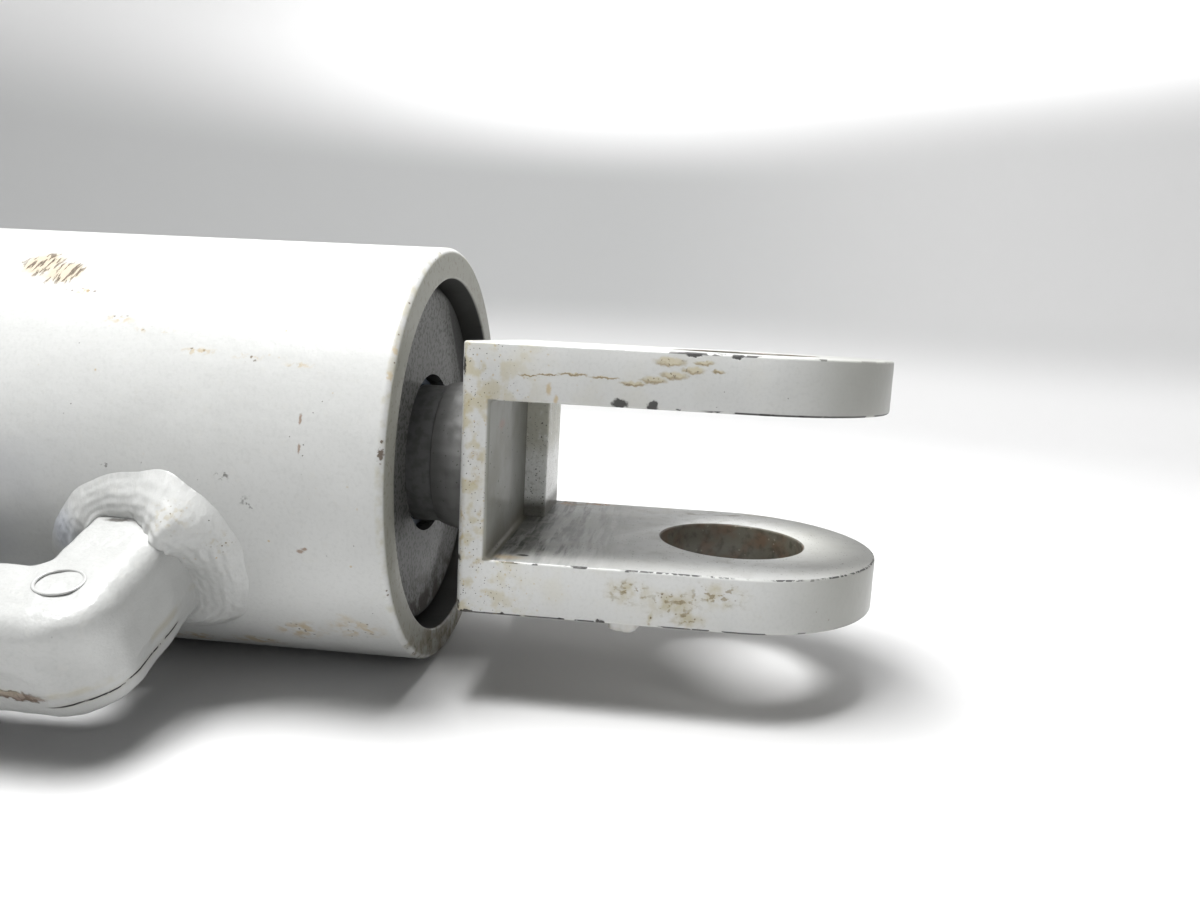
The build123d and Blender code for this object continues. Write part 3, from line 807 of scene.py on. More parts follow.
def weather(look, where):
    """Stains, scratches along the part, and chips, scattered over a region."""
    stains = look.step(look.noise(0.05, 7, offset=30), 0.54, 0.66)
    look.layer(look.both(where, stains), (0.36, 0.32, 0.23), 0.6, 0.55)
    scratches = look.step(look.noise(0.4, 7, (0.22, 1.0, 1.0), 31), 0.62, 0.65)
    look.layer(look.both(where, scratches), (0.2, 0.16, 0.11), 0.6, 0.75)
    look.speckle(where, (0.13, 0.085, 0.4), BROWN, 0.7, 0.9)
    look.speckle(where, (0.3, 0.12, 0.2), GRIME, 0.7, 0.8)
    low = look.both(look.step(look.z, -14, -40), look.step(look.noise(0.3, 8, offset=33), 0.45, 0.6))
    look.layer(look.both(where, low), OCHRE, 0.6, 0.65)


# The scuffed patch on the barrel: centre and half sizes
SCUFFED_PATCH = [
    ((313.5, -26.2, 35.9), (5.0, 5.0, 5.0)),
    ((319.5, -28.2, 34.4), (5.2, 4.4, 4.4)),
]
# The scrape that runs along the barrel towards its open end: centre and half sizes
SCRAPE = [
    ((326.0, -32.0, 31.0), (5.0, 1.2, 1.2)),
    ((335.5, -35.9, 26.2), (4.0, 1.3, 1.3)),
    ((343.0, -37.0, 24.6), (5.0, 1.0, 1.0)),
    ((352.0, -39.0, 21.4), (5.0, 0.9, 0.9)),
    ((362.0, -39.3, 20.8), (4.0, 0.9, 0.9)),
    ((371.0, -39.7, 20.0), (3.4, 0.8, 0.8)),
]
# Small rust marks near the open end: centre and half sizes
RUST_MARKS = [
    ((372.8, -43.1, 11.0), (0.35, 0.6, 1.5)),
    ((373.0, -44.0, 6.1), (0.35, 0.6, 1.2)),
    ((372.6, -42.7, -12.4), (0.9, 0.6, 0.55)),
    ((373.4, -42.8, -11.9), (0.8, 0.6, 0.4)),
]
# Grime beside the head port weld: centre and half sizes
WELD_SPATTER = [
    ((338.0, -44.4, 0.9), (1.1, 0.6, 0.5)),
    ((345.1, -44.4, 1.8), (0.5, 0.6, 0.4)),
    ((359.2, -44.4, 0.4), (2.0, 0.8, 1.2)),
    ((364.4, -44.3, -4.0), (2.4, 0.8, 1.6)),
]
# Dirt low on the barrel near the open end: centre and half sizes
LOW_DIRT = [
    ((367.6, -31.7, -31.1), (7.0, 6.0, 4.0)),
    ((379.0, -33.4, -29.3), (7.0, 6.0, 5.0)),
    ((356.3, -25.5, -36.4), (8.0, 6.0, 3.0)),
    ((343.1, -24.5, -37.1), (9.0, 5.0, 2.6)),
]
# Chips on the tube end's outer edge: centre and half sizes
RIM_CHIPS = [
    ((387.5, -44.0, 6.0), (0.9, 0.8, 1.5)),
    ((387.5, -43.8, 8.0), (0.5, 0.6, 0.5)),
    ((388.0, -22.7, -38.2), (1.0, 1.0, 0.6)),
]
# Faint stains on the same edge: centre and half sizes
RIM_STAINS = [
    ((387.4, -40.1, 19.2), (0.7, 1.0, 1.6)),
    ((387.3, -37.6, 23.4), (0.6, 0.8, 1.2)),
]


def barrel_paint():
    """Enamel on the barrel: a scuffed brown patch, a dotted scrape, chips and dirt low down, bluish painted
    shade low on the near side, and painted shade on the open end's face and bore wall.
    """
    look = enamel("barrel_enamel")
    patch = look.spots(SCUFFED_PATCH, 2.6, 0.7)
    scored = look.step(look.noise(0.9, 7, (2.2, 0.4, 0.4)), 0.54, 0.62)
    look.layer(patch, (0.4, 0.33, 0.22), 0.6, 0.75)
    look.layer(look.both(patch, scored), BROWN, 0.7, 0.9)
    look.raise_by(look.both(patch, scored), -0.25)
    scrape = look.spots(SCRAPE, 1.6, 1.1, 0.8)
    flecks = look.specks(0.8, 0.32, 0.65)
    look.layer(look.both(scrape, flecks), BROWN, 0.7, 0.9)
    look.mottle(scrape, (0.8, 7, 0), (0.48, 0.6), OCHRE, 0.6, 0.65)
    marks = look.spots(RUST_MARKS, 0.6, 2.0, 0.6)
    look.layer(marks, RUST, 0.7, 0.7)
    by_weld = look.spots(WELD_SPATTER, 2.0, 1.0, 0.7)
    look.mottle(by_weld, (1.1, 6, 1), (0.5, 0.6), GRIME, 0.7, 0.7)
    low = look.spots(LOW_DIRT, 6.0, 0.35, 0.9)
    look.mottle(low, (0.45, 7, 3), (0.42, 0.6), OCHRE, 0.6, 0.75)
    look.speckle(low, (0.9, 0.26, 0.4), GRIME, 0.7, 0.9)
    # Painted shade: a bluish darker zone low on the near side, short of the open end
    shade = look.step(look.noise(0.06, 3, offset=12), 0.4, 0.65)
    near_part = look.both(look.step(look.y, -4, -22), look.step(look.x, 225, 285))
    left = look.both(look.step(look.x, 345, 300), look.step(look.z, 22, -4), shade, near_part)
    look.layer(left, (0.36, 0.37, 0.4), 0.4, 0.5)
    far_left = look.both(look.step(look.x, 330, 296), look.step(look.z, 16, -6), near_part)
    look.layer(far_left, (0.34, 0.35, 0.38), 0.4, 0.6)
    weather(look, look.either(look.step(look.y, 6, 20), look.step(look.x, 270, 230)))
    # The open end: dull face painted darker as painted shade, bore wall painted near black as painted
    # shade, dirt low down
    radius = look.from_axis()
    on_face = look.both(look.step(look.x, 387.1, 387.7), look.step(radius, 43.9, 43.3))
    look.layer(on_face, (0.265, 0.262, 0.225), 0.45, 0.9)
    worn_rim = look.both(look.step(radius, 43.0, 43.7), look.step(look.x, 386.2, 386.9))
    look.mottle(worn_rim, (0.35, 9, 9), (0.45, 0.7), (0.36, 0.33, 0.22), 0.6, 0.5)
    look.speckle(worn_rim, (0.8, 0.22, 0.25), BROWN, 0.7, 0.8)
    look.mottle(on_face, (0.9, 6, 2), (0.55, 0.65), (0.2, 0.19, 0.15), 0.6, 0.4)
    # Painted shade: the bore wall within the open end, near black
    inside = look.both(look.step(radius, 38.75, 38.3), look.step(look.x, 387.75, 387.2))
    look.layer(inside, (0.05, 0.05, 0.047), 0.5, 0.95)
    low_face = look.both(look.step(look.x, 386.6, 387.4), look.step(look.z, -29, -38))
    look.mottle(low_face, (0.3, 8, 0), (0.35, 0.7), (0.13, 0.105, 0.06), 0.7, 0.8)
    look.speckle(low_face, (1.1, 0.3, 0.4), GRIME, 0.7, 0.85)
    look.speckle(on_face, (0.6, 0.16, 0.2), BROWN, 0.7, 0.7)
    chips = look.spots(RIM_CHIPS, 1.5, 2.2, 0.4)
    look.layer(chips, BROWN, 0.7, 0.9)
    faint = look.spots(RIM_STAINS, 1.5, 1.6)
    look.layer(faint, OCHRE, 0.6, 0.6)
    return look.finish()


# A yellow streak at the foot of the top arm: centre and half sizes
YELLOW_STREAK = [
    ((413.4, -30, 17.6), (0.7, 1, 1.6)),
    ((414.8, -30, 15.8), (0.6, 1, 1.2)),
]
# Stains down the clevis's base: centre and half sizes
STRIP_STAINS = [
    ((397.8, -30, 15.6), (1.6, 1, 5.0)),
    ((402.4, -30, 15.4), (1.2, 1, 2.4)),
    ((400.3, -30, 2.0), (2.2, 1, 6.0)),
    ((401.6, -30, -7.5), (1.2, 1, 3.4)),
    ((400.8, -30, -15.2), (2.4, 1, 1.6)),
    ((397.9, -30, -9.0), (0.8, 1, 9.0)),
]
# Chips through to black along the clevis's edges: centre and half sizes
CLEVIS_CHIPS = [
    ((439.3, -29.8, 25.4), (2.0, 1.6, 0.9)),
    ((446.8, -29.8, 25.5), (1.3, 1.6, 0.8)),
    ((444.0, -29.0, 25.6), (1.6, 1.0, 0.3)),
    ((426.4, -30, 15.7), (1.7, 1, 1.1)),
    ((432.4, -30, 15.6), (1.1, 1, 1.3)),
    ((399.5, -30, -25.4), (1.7, 1, 0.5)),
    ((406.0, -30, -25.4), (0.9, 1, 0.5)),
    ((417.4, -30, -25.4), (0.9, 1, 0.5)),
    ((425.0, -30, -25.4), (1.2, 1, 0.6)),
    ((397.4, -30, 21.0), (0.6, 1, 3.0)),
    ((397.4, -30, -24.0), (0.7, 1, 1.6)),
]
# Stains on the near face of the lower arm: centre and half sizes
LOWER_ARM_STAINS = [
    ((430.0, -30, -19.0), (6.0, 1, 3.4)),
    ((438.0, -30, -20.6), (7.0, 1, 4.0)),
    ((446.0, -30, -18.6), (8.0, 1, 3.4)),
    ((441.0, -30, -23.4), (5.0, 1, 2.4)),
    ((434.2, -30, -23.6), (0.8, 1, 2.4)),
    ((466.0, -27, -22.6), (5.4, 5, 2.6)),
]
# Scuffs along the near face of the rod clevis's top arm: centre and half sizes
SCUFFS = [
    ((409.5, -30, 19.9), (2.2, 1, 0.28)),
    ((413.0, -30, 20.2), (2.6, 1, 0.3)),
    ((417.8, -30, 20.5), (3.4, 1, 0.36)),
    ((423.4, -30, 20.3), (3.2, 1, 0.34)),
    ((428.6, -30, 19.5), (3.0, 1, 0.6)),
    ((432.2, -30, 20.3), (3.0, 1, 0.8)),
    ((435.8, -30, 21.3), (3.2, 1, 0.95)),
    ((439.2, -30, 22.4), (2.6, 1, 0.9)),
    ((435.0, -30, 23.7), (3.6, 1, 1.05)),
    ((441.0, -30, 23.8), (2.2, 1, 0.6)),
    ((443.6, -30, 22.4), (1.4, 1, 0.5)),
]
SCUFF_TOPS = [((x + 0.15, y, z + 0.3), halves) for (x, y, z), halves in SCUFFS]


def clevis_paint():
    """Enamel on the rod clevis: ochre scuffs, black edge chips and grease where the lug sat, with painted
    shade round the arm ends, on the base face in the gap and towards the base on the lower arm.
    """
    look = enamel("rod_clevis_enamel")
    past_pin = look.math("MAXIMUM", look.math("SUBTRACT", look.x, ROD_PIN), 0.0)
    flat = look.math("ADD", look.math("POWER", past_pin, 2.0), look.math("POWER", look.y, 2.0))
    from_side = look.math("SUBTRACT", CLEVIS_HALF_WIDTH, look.math("SQRT", flat))
    height = look.math("ABSOLUTE", look.z)
    from_top = look.math("SUBTRACT", CLEVIS_HALF_HEIGHT, height)
    from_gap = look.math("ABSOLUTE", look.math("SUBTRACT", height, GAP_HALF))
    from_bore = look.math("SUBTRACT", look.from_axis("z", ROD_PIN), PIN_BORE)
    # Grey-brown haze that gathers on the flat faces and near the base
    haze = look.step(look.noise(0.12, 5, offset=2), 0.45, 0.7)
    near_base = look.step(look.x, 430, 402)
    look.layer(look.both(haze, look.step(look.x, 470, 410)), (0.50, 0.48, 0.40), 0.5, 0.35)
    look.speckle(near_base, (0.9, 0.22, 0.35), OCHRE, 0.6, 0.6)
    # Worn edges: broken dark line along side and gap edges
    edge_side = look.step(from_side, 0.5, 0.3)
    edge_top = look.step(from_top, 0.5, 0.3)
    edge_gap = look.both(look.step(from_gap, 0.5, 0.3), look.step(look.x, 402.6, 403.4))
    uneven = look.noise(0.2, 9, offset=4)
    edges = look.either(look.both(edge_side, edge_top), look.both(edge_side, edge_gap))
    look.layer(edges, (0.58, 0.58, 0.56), 0.4, 0.4)
    under = look.both(edges, look.step(look.z, -20, -24), look.step(uneven, 0.47, 0.5))
    top_edge = look.both(edges, look.step(look.z, 20, 24), look.step(look.x, 420, 440))
    above = look.both(top_edge, look.step(uneven, 0.49, 0.52))
    elsewhere = look.both(edges, look.step(uneven, 0.6, 0.63))
    look.layer(look.either(under, above, elsewhere), BLACK, 0.6, 0.9)
    # Painted shade: darker round the ends of the arms, which turn away from the light
    look.layer(look.step(look.x, 450, 474), (0.3, 0.3, 0.275), 0.4, 0.85)
    # Scuffs along the near face of the top arm
    front = look.step(look.y, -29.2, -29.8)
    scuffs = look.spots(SCUFFS, 1.3, 1.0, 0.6)
    look.layer(look.both(scuffs, front), (0.46, 0.42, 0.31), 0.6, 0.9)
    lifted = look.spots(SCUFF_TOPS, 1.3, 1.0, 0.6)
    rim = look.both(scuffs, front, look.math("SUBTRACT", 1.0, lifted))
    look.layer(rim, (0.2, 0.15, 0.08), 0.7, 0.8)
    pits = look.both(scuffs, front, look.step(look.noise(1.5, 6, offset=5), 0.58, 0.64))
    look.layer(pits, BROWN, 0.7, 0.7)
    yellow = look.spots(YELLOW_STREAK, 0.8, 1.4, 0.7)
    look.layer(look.both(yellow, front), (0.42, 0.3, 0.12), 0.6, 0.6)
    base_strip = look.spots(STRIP_STAINS, 2.0, 0.6, 0.9)
    look.mottle(base_strip, (0.5, 9, 6), (0.45, 0.6), (0.37, 0.29, 0.15), 0.6, 0.7)
    look.speckle(base_strip, (1.9, 0.26, 0.3), RUST, 0.7, 0.75)
    strip = look.both(look.step(look.x, 416, 400), front)
    stained = look.step(look.noise(0.3, 9, offset=21), 0.46, 0.6)
    look.layer(look.both(strip, stained), (0.41, 0.36, 0.22), 0.6, 0.6)
    look.speckle(strip, (1.7, 0.24, 0.4), GRIME, 0.7, 0.75)
    look.speckle(strip, (1.0, 0.13, 0.3), BLACK, 0.7, 0.9)
    chips = look.spots(CLEVIS_CHIPS, 1.5, 1.1, 0.35)
    look.layer(chips, BLACK, 0.6, 0.9)
    look.raise_by(chips, -0.12)
    # Speckled ochre patch on the near face of the lower arm
    lower = look.spots(LOWER_ARM_STAINS, 3.0, 0.5, 0.9)
    look.mottle(look.both(lower, front), (0.3, 9, 9), (0.3, 0.55), (0.38, 0.34, 0.23), 0.6, 0.8)
    scratched = look.step(look.noise(0.9, 7, (0.8, 1.0, 1.3), 8), 0.54, 0.6)
    look.layer(look.both(lower, front, scratched), (0.2, 0.16, 0.085), 0.7, 0.8)
    look.speckle(lower, (1.1, 0.24, 0.4), (0.12, 0.09, 0.05), 0.7, 0.9)
    # Lower arm's upper face: darker towards the base, partly grime and partly painted shade in the corner;
    # dark smears square to the arm near the base, rust and dust
    flat_part = look.step(from_side, 0.1, 0.45)
    shelf = look.both(look.step(look.z, -15.7, -15.3), look.step(look.z, -14.2, -14.8), flat_part)
    # Grime and painted shade: darker towards the base, darkest in the corner against it
    look.layer(look.both(shelf, look.step(look.x, 446, 408)), (0.17, 0.17, 0.16), 0.5, 0.7)
    look.layer(look.both(shelf, look.step(look.x, 417, 405)), (0.09, 0.088, 0.08), 0.5, 0.7)
    smears = look.step(look.noise(0.75, 6, (1.0, 0.1, 1.0), 3), 0.44, 0.62)
    look.layer(look.both(shelf, look.step(look.x, 432, 406), smears), (0.03, 0.029, 0.026), 0.5, 0.85)
    wiped = look.step(look.noise(0.75, 6, (1.0, 0.12, 1.0), 31), 0.5, 0.66)
    look.layer(look.both(shelf, look.step(look.x, 452, 412), wiped), (0.5, 0.5, 0.49), 0.45, 0.45)
    look.mottle(shelf, (0.3, 6, 16), (0.46, 0.72), (0.33, 0.325, 0.3), 0.5, 0.5)
    look.speckle(shelf, (1.5, 0.26, 0.3), GRIME, 0.6, 0.6)
    look.speckle(shelf, (0.6, 0.12, 0.3), BLACK, 0.6, 0.8)
    # Plain paint again along the near edge, where the painted shade and grime stop
    near_edge = look.both(shelf, look.step(look.y, -20, -27), look.step(look.x, 400, 410))
    look.layer(near_edge, PAINT, 0.36, 0.55)
    orange = look.spots(
        [((411.0, 26.5, -15), (3.4, 3.4, 1.5)), ((419.0, 28.0, -15), (6.0, 2.2, 1.5))], 2.4, 0.6, 0.9
    )
    look.mottle(orange, (0.8, 5, 0), (0.36, 0.6), (0.3, 0.15, 0.05), 0.7, 0.85)
    look.layer(look.spots([((409.0, -25.0, -15), (1.5, 0.9, 1))], 0.8, 1.5), BLACK, 0.6, 0.9)
    look.layer(look.spots([((406.0, -27.0, -15), (5.0, 2.4, 1))], 2.0, 0.7, 0.9), OCHRE, 0.6, 0.6)
    # Broken dark lines along the gap's edges
    low_arm = look.step(look.z, -13, -14.5)
    run = look.both(edge_side, edge_gap, low_arm, look.step(look.x, 416, 422))
    stretches = look.step(look.noise(0.12, 3, offset=14), 0.42, 0.5)
    crumbs = look.step(look.noise(1.0, 7, offset=15), 0.45, 0.5)
    look.layer(look.both(run, stretches, crumbs, look.step(from_gap, 0.32, 0.18)), BLACK, 0.6, 0.9)
    under_top_arm = look.both(edge_side, edge_gap, look.step(look.z, 13, 14.5), look.step(look.x, 440, 444))
    look.mottle(under_top_arm, (0.16, 8, 20), (0.4, 0.45), BLACK, 0.6, 0.9)
    # Base face in the gap: painted shade, darker still low down with grime and painted contact shade
    near_throat = look.both(look.step(look.x, 401.9, 402.5), look.step(look.x, 404.2, 403.4))
    inside = look.both(near_throat, look.step(height, 15.4, 15.0))
    look.layer(inside, (0.235, 0.237, 0.215), 0.5, 0.95)
    look.mottle(inside, (0.12, 4, 1), (0.4, 0.7), (0.19, 0.185, 0.15), 0.6, 0.5)
    # Darker low down: partly grime, partly painted contact shade
    look.layer(look.both(inside, look.step(look.z, -9, -15)), (0.13, 0.115, 0.08), 0.6, 0.6)
    look.speckle(inside, (0.6, 0.15, 0.3), GRIME, 0.7, 0.8)
    pink = look.spots([((402.8, -19.0, 9.5), (2, 4.5, 1.6))], 2.0, 0.6, 0.9)
    look.layer(look.both(pink, inside), (0.33, 0.2, 0.17), 0.6, 0.5)
    # Generic wear on the faces away from the near side
    weather(look, look.either(look.step(look.y, 20, 27), look.both(look.step(look.z, -22, -25), flat_part)))
    # Bore wall, bare and rusty
    wall = look.step(from_bore, 0.45, 0.2)
    look.layer(wall, (0.105, 0.098, 0.075), 0.45, 0.95)
    look.mottle(wall, (0.22, 6, 11), (0.42, 0.7), (0.13, 0.075, 0.045), 0.6, 0.6)
    look.mottle(wall, (0.5, 5, 13), (0.45, 0.7), (0.05, 0.047, 0.035), 0.6, 0.6)
    look.speckle(wall, (0.8, 0.25, 0.25), (0.27, 0.25, 0.2), 0.5, 0.5)
    return look.finish()


def pad_paint():
    """Speckled coat on the raised pad, made far paler than the other enamel as painted light, with olive
    dirt and painted shade of the top arm above, and grime and painted contact shade at its foot.
    """
    # Painted light: the pad's enamel is a much paler copy, standing in for light on its faces
    look = enamel("pad_enamel_painted_light", peel=2.0, shade=1.65)
    look.layer(look.step(look.noise(1.2, 5), 0.5, 0.7), (0.5, 0.5, 0.46), 0.6, 0.5)
    # Olive dirt and painted shade of the top arm over the upper part
    upper = look.both(look.step(look.z, -3, 4), look.step(look.noise(0.35, 4, offset=8), 0.2, 0.5))
    look.layer(upper, (0.5, 0.49, 0.4), 0.6, 0.75)
    look.layer(look.specks(1.9, 0.26, 0.35), (0.16, 0.155, 0.13), 0.7, 0.8)
    look.layer(look.specks(1.1, 0.24, 0.2), GRIME, 0.7, 0.85)
    # Darker at the foot: grime and painted contact shade
    look.layer(look.step(look.z, -9.6, -13), (0.09, 0.085, 0.065), 0.6, 0.85)
    look.raise_by(look.noise(1.1, 4), 0.2)
    return look.finish()


def plain_paint(name, low_grime=-8.0):
    """Enamel for parts seen from afar: dirt low down and in broken patches."""
    look = enamel(name)
    dirt = look.both(look.step(look.z, low_grime, -38), look.step(look.noise(0.2, 6, offset=5), 0.45, 0.65))
    look.layer(dirt, OCHRE, 0.6, 0.5)
    weather(look, look.step(look.x, 380, 370))
    patches = look.step(look.noise(0.09, 5, offset=15), 0.58, 0.68)
    look.speckle(patches, (1.0, 0.3, 0.5), BROWN, 0.7, 0.7)
    return look.finish()


def gland_paint():
    """Grainy grey overspray on the recessed gland, painted dark all over as painted shade in the recess,
    with painted shade round its rim, a painted shadow across its upper far side and dirt at the bottom.
    """
    look = enamel("gland_enamel_painted_shade", peel=1.6)
    # Painted shade: the whole recessed gland is made dark
    look.layer(1.0, (0.17, 0.17, 0.163), 0.6, 0.95)
    look.layer(look.step(look.noise(1.1, 6), 0.5, 0.58), (0.075, 0.073, 0.068), 0.6, 0.75)
    look.layer(look.specks(1.1, 0.3, 0.4), (0.03, 0.028, 0.024), 0.6, 0.8)
    look.layer(look.specks(0.9, 0.2, 0.25), (0.36, 0.36, 0.35), 0.5, 0.55)
    # Painted shade round the gland's rim, against the bore wall
    rim = look.step(look.from_axis(), 34.8, 35.8)
    look.layer(rim, (0.035, 0.035, 0.033), 0.6, 0.95)
    # Painted shadow: a straight-edged dark area on the upper far side of the gland face
    painted_shadow_edge = look.math("ADD", look.math("MULTIPLY", look.y, 0.80), look.math("MULTIPLY", look.z, 0.60))
    look.layer(look.step(painted_shadow_edge, 28.2, 29.6), (0.045, 0.045, 0.043), 0.6, 0.85)
    low = look.both(look.step(look.z, -20, -34), look.step(look.noise(0.25, 6, offset=3), 0.42, 0.6))
    look.layer(low, (0.05, 0.04, 0.03), 0.7, 0.85)
    look.raise_by(look.noise(1.6, 4), 0.12)
    return look.finish()


def rod_weld_paint():
    """Grey overspray on the weld cone, painted dark as painted shade in the gap, darker still towards the
    gland.
    """
    look = enamel("rod_weld_enamel")
    # Painted shade: the cone is made dark, more so towards the gland
    look.layer(1.0, (0.31, 0.31, 0.305), 0.5, 0.95)
    look.layer(look.step(look.x, 393.5, 387.5), (0.14, 0.14, 0.137), 0.5, 0.9)
    look.layer(look.step(look.noise(0.25, 4, offset=3), 0.4, 0.7), (0.13, 0.13, 0.125), 0.5, 0.5)
    look.layer(look.specks(1.1, 0.22, 0.25), (0.1, 0.1, 0.09), 0.6, 0.6)
    return look.finish()


def port_weld_paint(name, port):
    """Enamel on the built-up weld: ochre pits on its upper side, with a bluish painted reflection towards
    the barrel's base.
    """
    look = enamel(name, peel=1.3, shade=0.97)
    pitted = [
        (tuple(elbow_point(port, 8.0, 46.0, 13.0)), (5.0, 5.0, 4.0)),
        (tuple(elbow_point(port, -4.0, 44.0, 17.5)), (4.0, 3.0, 1.6)),
        (tuple(elbow_point(port, 15.0, 45.0, 7.0)), (3.0, 3.0, 3.0)),
    ]
    upper = look.spots(pitted, 3.0, 0.5, 0.8)
    look.mottle(upper, (1.0, 7, 4), (0.5, 0.66), (0.38, 0.33, 0.22), 0.6, 0.5)
    look.speckle(upper, (1.3, 0.26, 0.45), (0.16, 0.13, 0.08), 0.7, 0.85)
    # Painted reflection: a bluish tint on the weld's side towards the barrel's base
    bluish_painted_reflection = look.spots([(tuple(elbow_point(port, -14.0, 45.0, 7.0)), (6.0, 6.0, 7.0))], 2.0, 0.4, 0.9)
    look.layer(bluish_painted_reflection, (0.5, 0.54, 0.64), 0.3, 0.45)
    brushed = look.noise(0.5, 5, (1.0, 0.35, 0.35), 3)
    look.raise_by(brushed, 0.3)
    return look.finish()


def elbow_paint(name, port):
    """Enamel on a forged elbow, a darker copy as painted shade with painted light on the riser's lower
    side, a broken parting-line crack and a rusty chip on the crease.
    """
    # Painted shade: the elbow's enamel is a darker copy of the barrel's
    look = enamel(name, peel=1.7, shade=0.8)
    out = look.vector("DOT_PRODUCT", look.place, tuple(radial(port["angle"])))
    up = look.vector("DOT_PRODUCT", look.place, tuple(across(port["angle"])))
    along = look.math("SUBTRACT", look.x, port["station"])
    # Painted light: the riser's lower side towards the open end is lit back up to plain paint
    look.layer(look.both(look.step(along, 1, 8), look.step(up, 9, 4)), PAINT, 0.36, 0.75)
    wander = look.math("MULTIPLY", look.math("SUBTRACT", look.noise(0.12, 4, offset=6), 0.5), 1.4)
    line = look.math("ABSOLUTE", look.math("ADD", look.math("ADD", up, 6.3), wander))
    outer = look.either(look.step(out, 66, 69), look.step(along, 3.0, 4.5))
    reach = look.both(look.step(along, -3.5, 0.5), look.step(out, 50, 53))
    broken = look.step(look.noise(0.4, 5, offset=9), 0.4, 0.47)
    crack = look.both(look.step(line, 0.24, 0.09), outer, reach, broken)
    look.layer(look.both(look.step(line, 1.1, 0.2), outer, reach), (0.4, 0.39, 0.35), 0.5, 0.4)
    look.layer(crack, BLACK, 0.7, 0.95)
    look.raise_by(crack, -0.4)
    chip = look.spots([(tuple(elbow_point(port, -6.8, 72.3, -4.2)), (5.4, 2.2, 1.3))], 2.6, 0.8, 0.4)
    look.layer(chip, (0.2, 0.15, 0.125), 0.6, 0.95)
    look.mottle(chip, (0.9, 6, 2), (0.46, 0.54), BROWN, 0.7, 0.9)
    look.raise_by(chip, -0.3)
    crease = look.both(look.step(look.math("ABSOLUTE", look.math("ADD", up, CREASE_DOWN)), 1.3, 0.2), outer)
    look.mottle(crease, (0.15, 4, 3), (0.45, 0.6), (0.4, 0.37, 0.28), 0.5, 0.45)
    look.raise_by(look.noise(0.9, 4), 0.1)
    look.raise_by(look.noise(0.35, 3, offset=2), 0.14)
    slit = look.spots([(tuple(elbow_point(port, -2.4, 45.6, 10.9)), (3.4, 0.55, 1.2))], 0.5, 1.4, 0.6)
    look.layer(slit, GRIME, 0.7, 0.85)
    return look.finish()


def metal(name, colour, rough, grain):
    """Bare metal with fine tool marks along or across a direction."""
    look = Look(name, metallic=1.0)
    look.base(colour, rough)
    worn = tuple(channel * 0.72 for channel in colour)
    look.layer(look.step(look.noise(0.5, 5, grain), 0.4, 0.65), worn, rough + 0.12, 0.6)
    look.raise_by(look.noise(1.5, 3, grain), 0.01)
    return look.finish()


def moulded(name, colour, rough):
    """Rubber or plastic with a faint mottle."""
    look = Look(name)
    look.base(colour, rough)
    lighter = tuple(min(1.0, channel * 1.6 + 0.01) for channel in colour)
    look.layer(look.step(look.noise(0.7, 4), 0.45, 0.7), lighter, rough + 0.1, 0.4)
    look.raise_by(look.noise(1.2, 3), 0.02)
    return look.finish()


def rod_finish():
    """Hard chrome along the stroke and grey overspray near the clevis, the overspray painted dark as
    painted shade.
    """
    look = Look("rod_chrome_and_paint")
    chrome = look.step(look.x, 381.6, 381.0)
    look.tree.links.new(chrome, look.shader.inputs["Metallic"])
    # Painted shade: the overspray near the clevis is made dark grey
    look.base((0.175, 0.177, 0.175), 0.42)
    look.layer(look.step(look.noise(0.5, 5, offset=4), 0.42, 0.65), (0.09, 0.09, 0.085), 0.5, 0.5)
    look.layer(chrome, (0.62, 0.62, 0.63), 0.12)
    look.raise_by(look.noise(1.2, 3, (4, 1, 1)), 0.006)
    return look.finish()


# ------------------------------------------------------------------ pieces
def add(piece, body, slot_name, material, *nodes):
    """Give a piece its material, tie it to its body and hide the CAD nodes it stands for; the slot name is
    not used.
    """
    piece.data.materials.clear()
    piece.data.materials.append(material)
    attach(piece, body)
    if nodes:
        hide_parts(*nodes)


plain = plain_paint("base_enamel")
weld_coat = plain_paint("weld_enamel", -20.0)

add(build_barrel(), "barrel", "grey_paint", barrel_paint(), "barrel_tube")
add(build_cap_weld(), "barrel", "painted_weld", weld_coat, "base_cap_weld")
base_yoke = build_yoke("base_clevis_yoke", 0.0, CAP_BACK, BASE_PLATE)
add(base_yoke, "barrel", "grey_paint", plain, "base_clevis")
add(build_base_weld(), "barrel", "painted_weld", weld_coat, "base_clevis_weld")
for end_name, port in (("head", HEAD_PORT), ("base", BASE_PORT)):
    coat = elbow_paint(f"{end_name}_elbow_enamel", port)
    bead_coat = port_weld_paint(f"{end_name}_port_weld_enamel", port)
    add(build_elbow(f"{end_name}_elbow_body", port), "barrel", "grey_paint", coat, f"{end_name}_port_elbow")
    add(build_boss(f"{end_name}_elbow_boss", port), "barrel", "grey_paint", coat)
    add(build_forge_mark(f"{end_name}_elbow_mark", port), "barrel", "grey_paint", coat)
    bead = build_port_weld(f"{end_name}_port_weld_bead", port)
    add(bead, "barrel", "painted_weld", bead_coat, f"{end_name}_port_weld")
rod_yoke = build_yoke("rod_clevis_yoke", ROD_PIN, ROD_CLEVIS_BACK, ROD_PLATE)
add(rod_yoke, "rod", "grey_paint", clevis_paint(), "rod_clevis")
add(build_pad(), "rod", "grey_paint", pad_paint(), "rod_clevis_pad")
add(build_nub(), "rod", "painted_weld", weld_coat, "rod_clevis_nub")
add(build_rod_weld(), "rod", "painted_weld", rod_weld_paint(), "rod_clevis_weld")

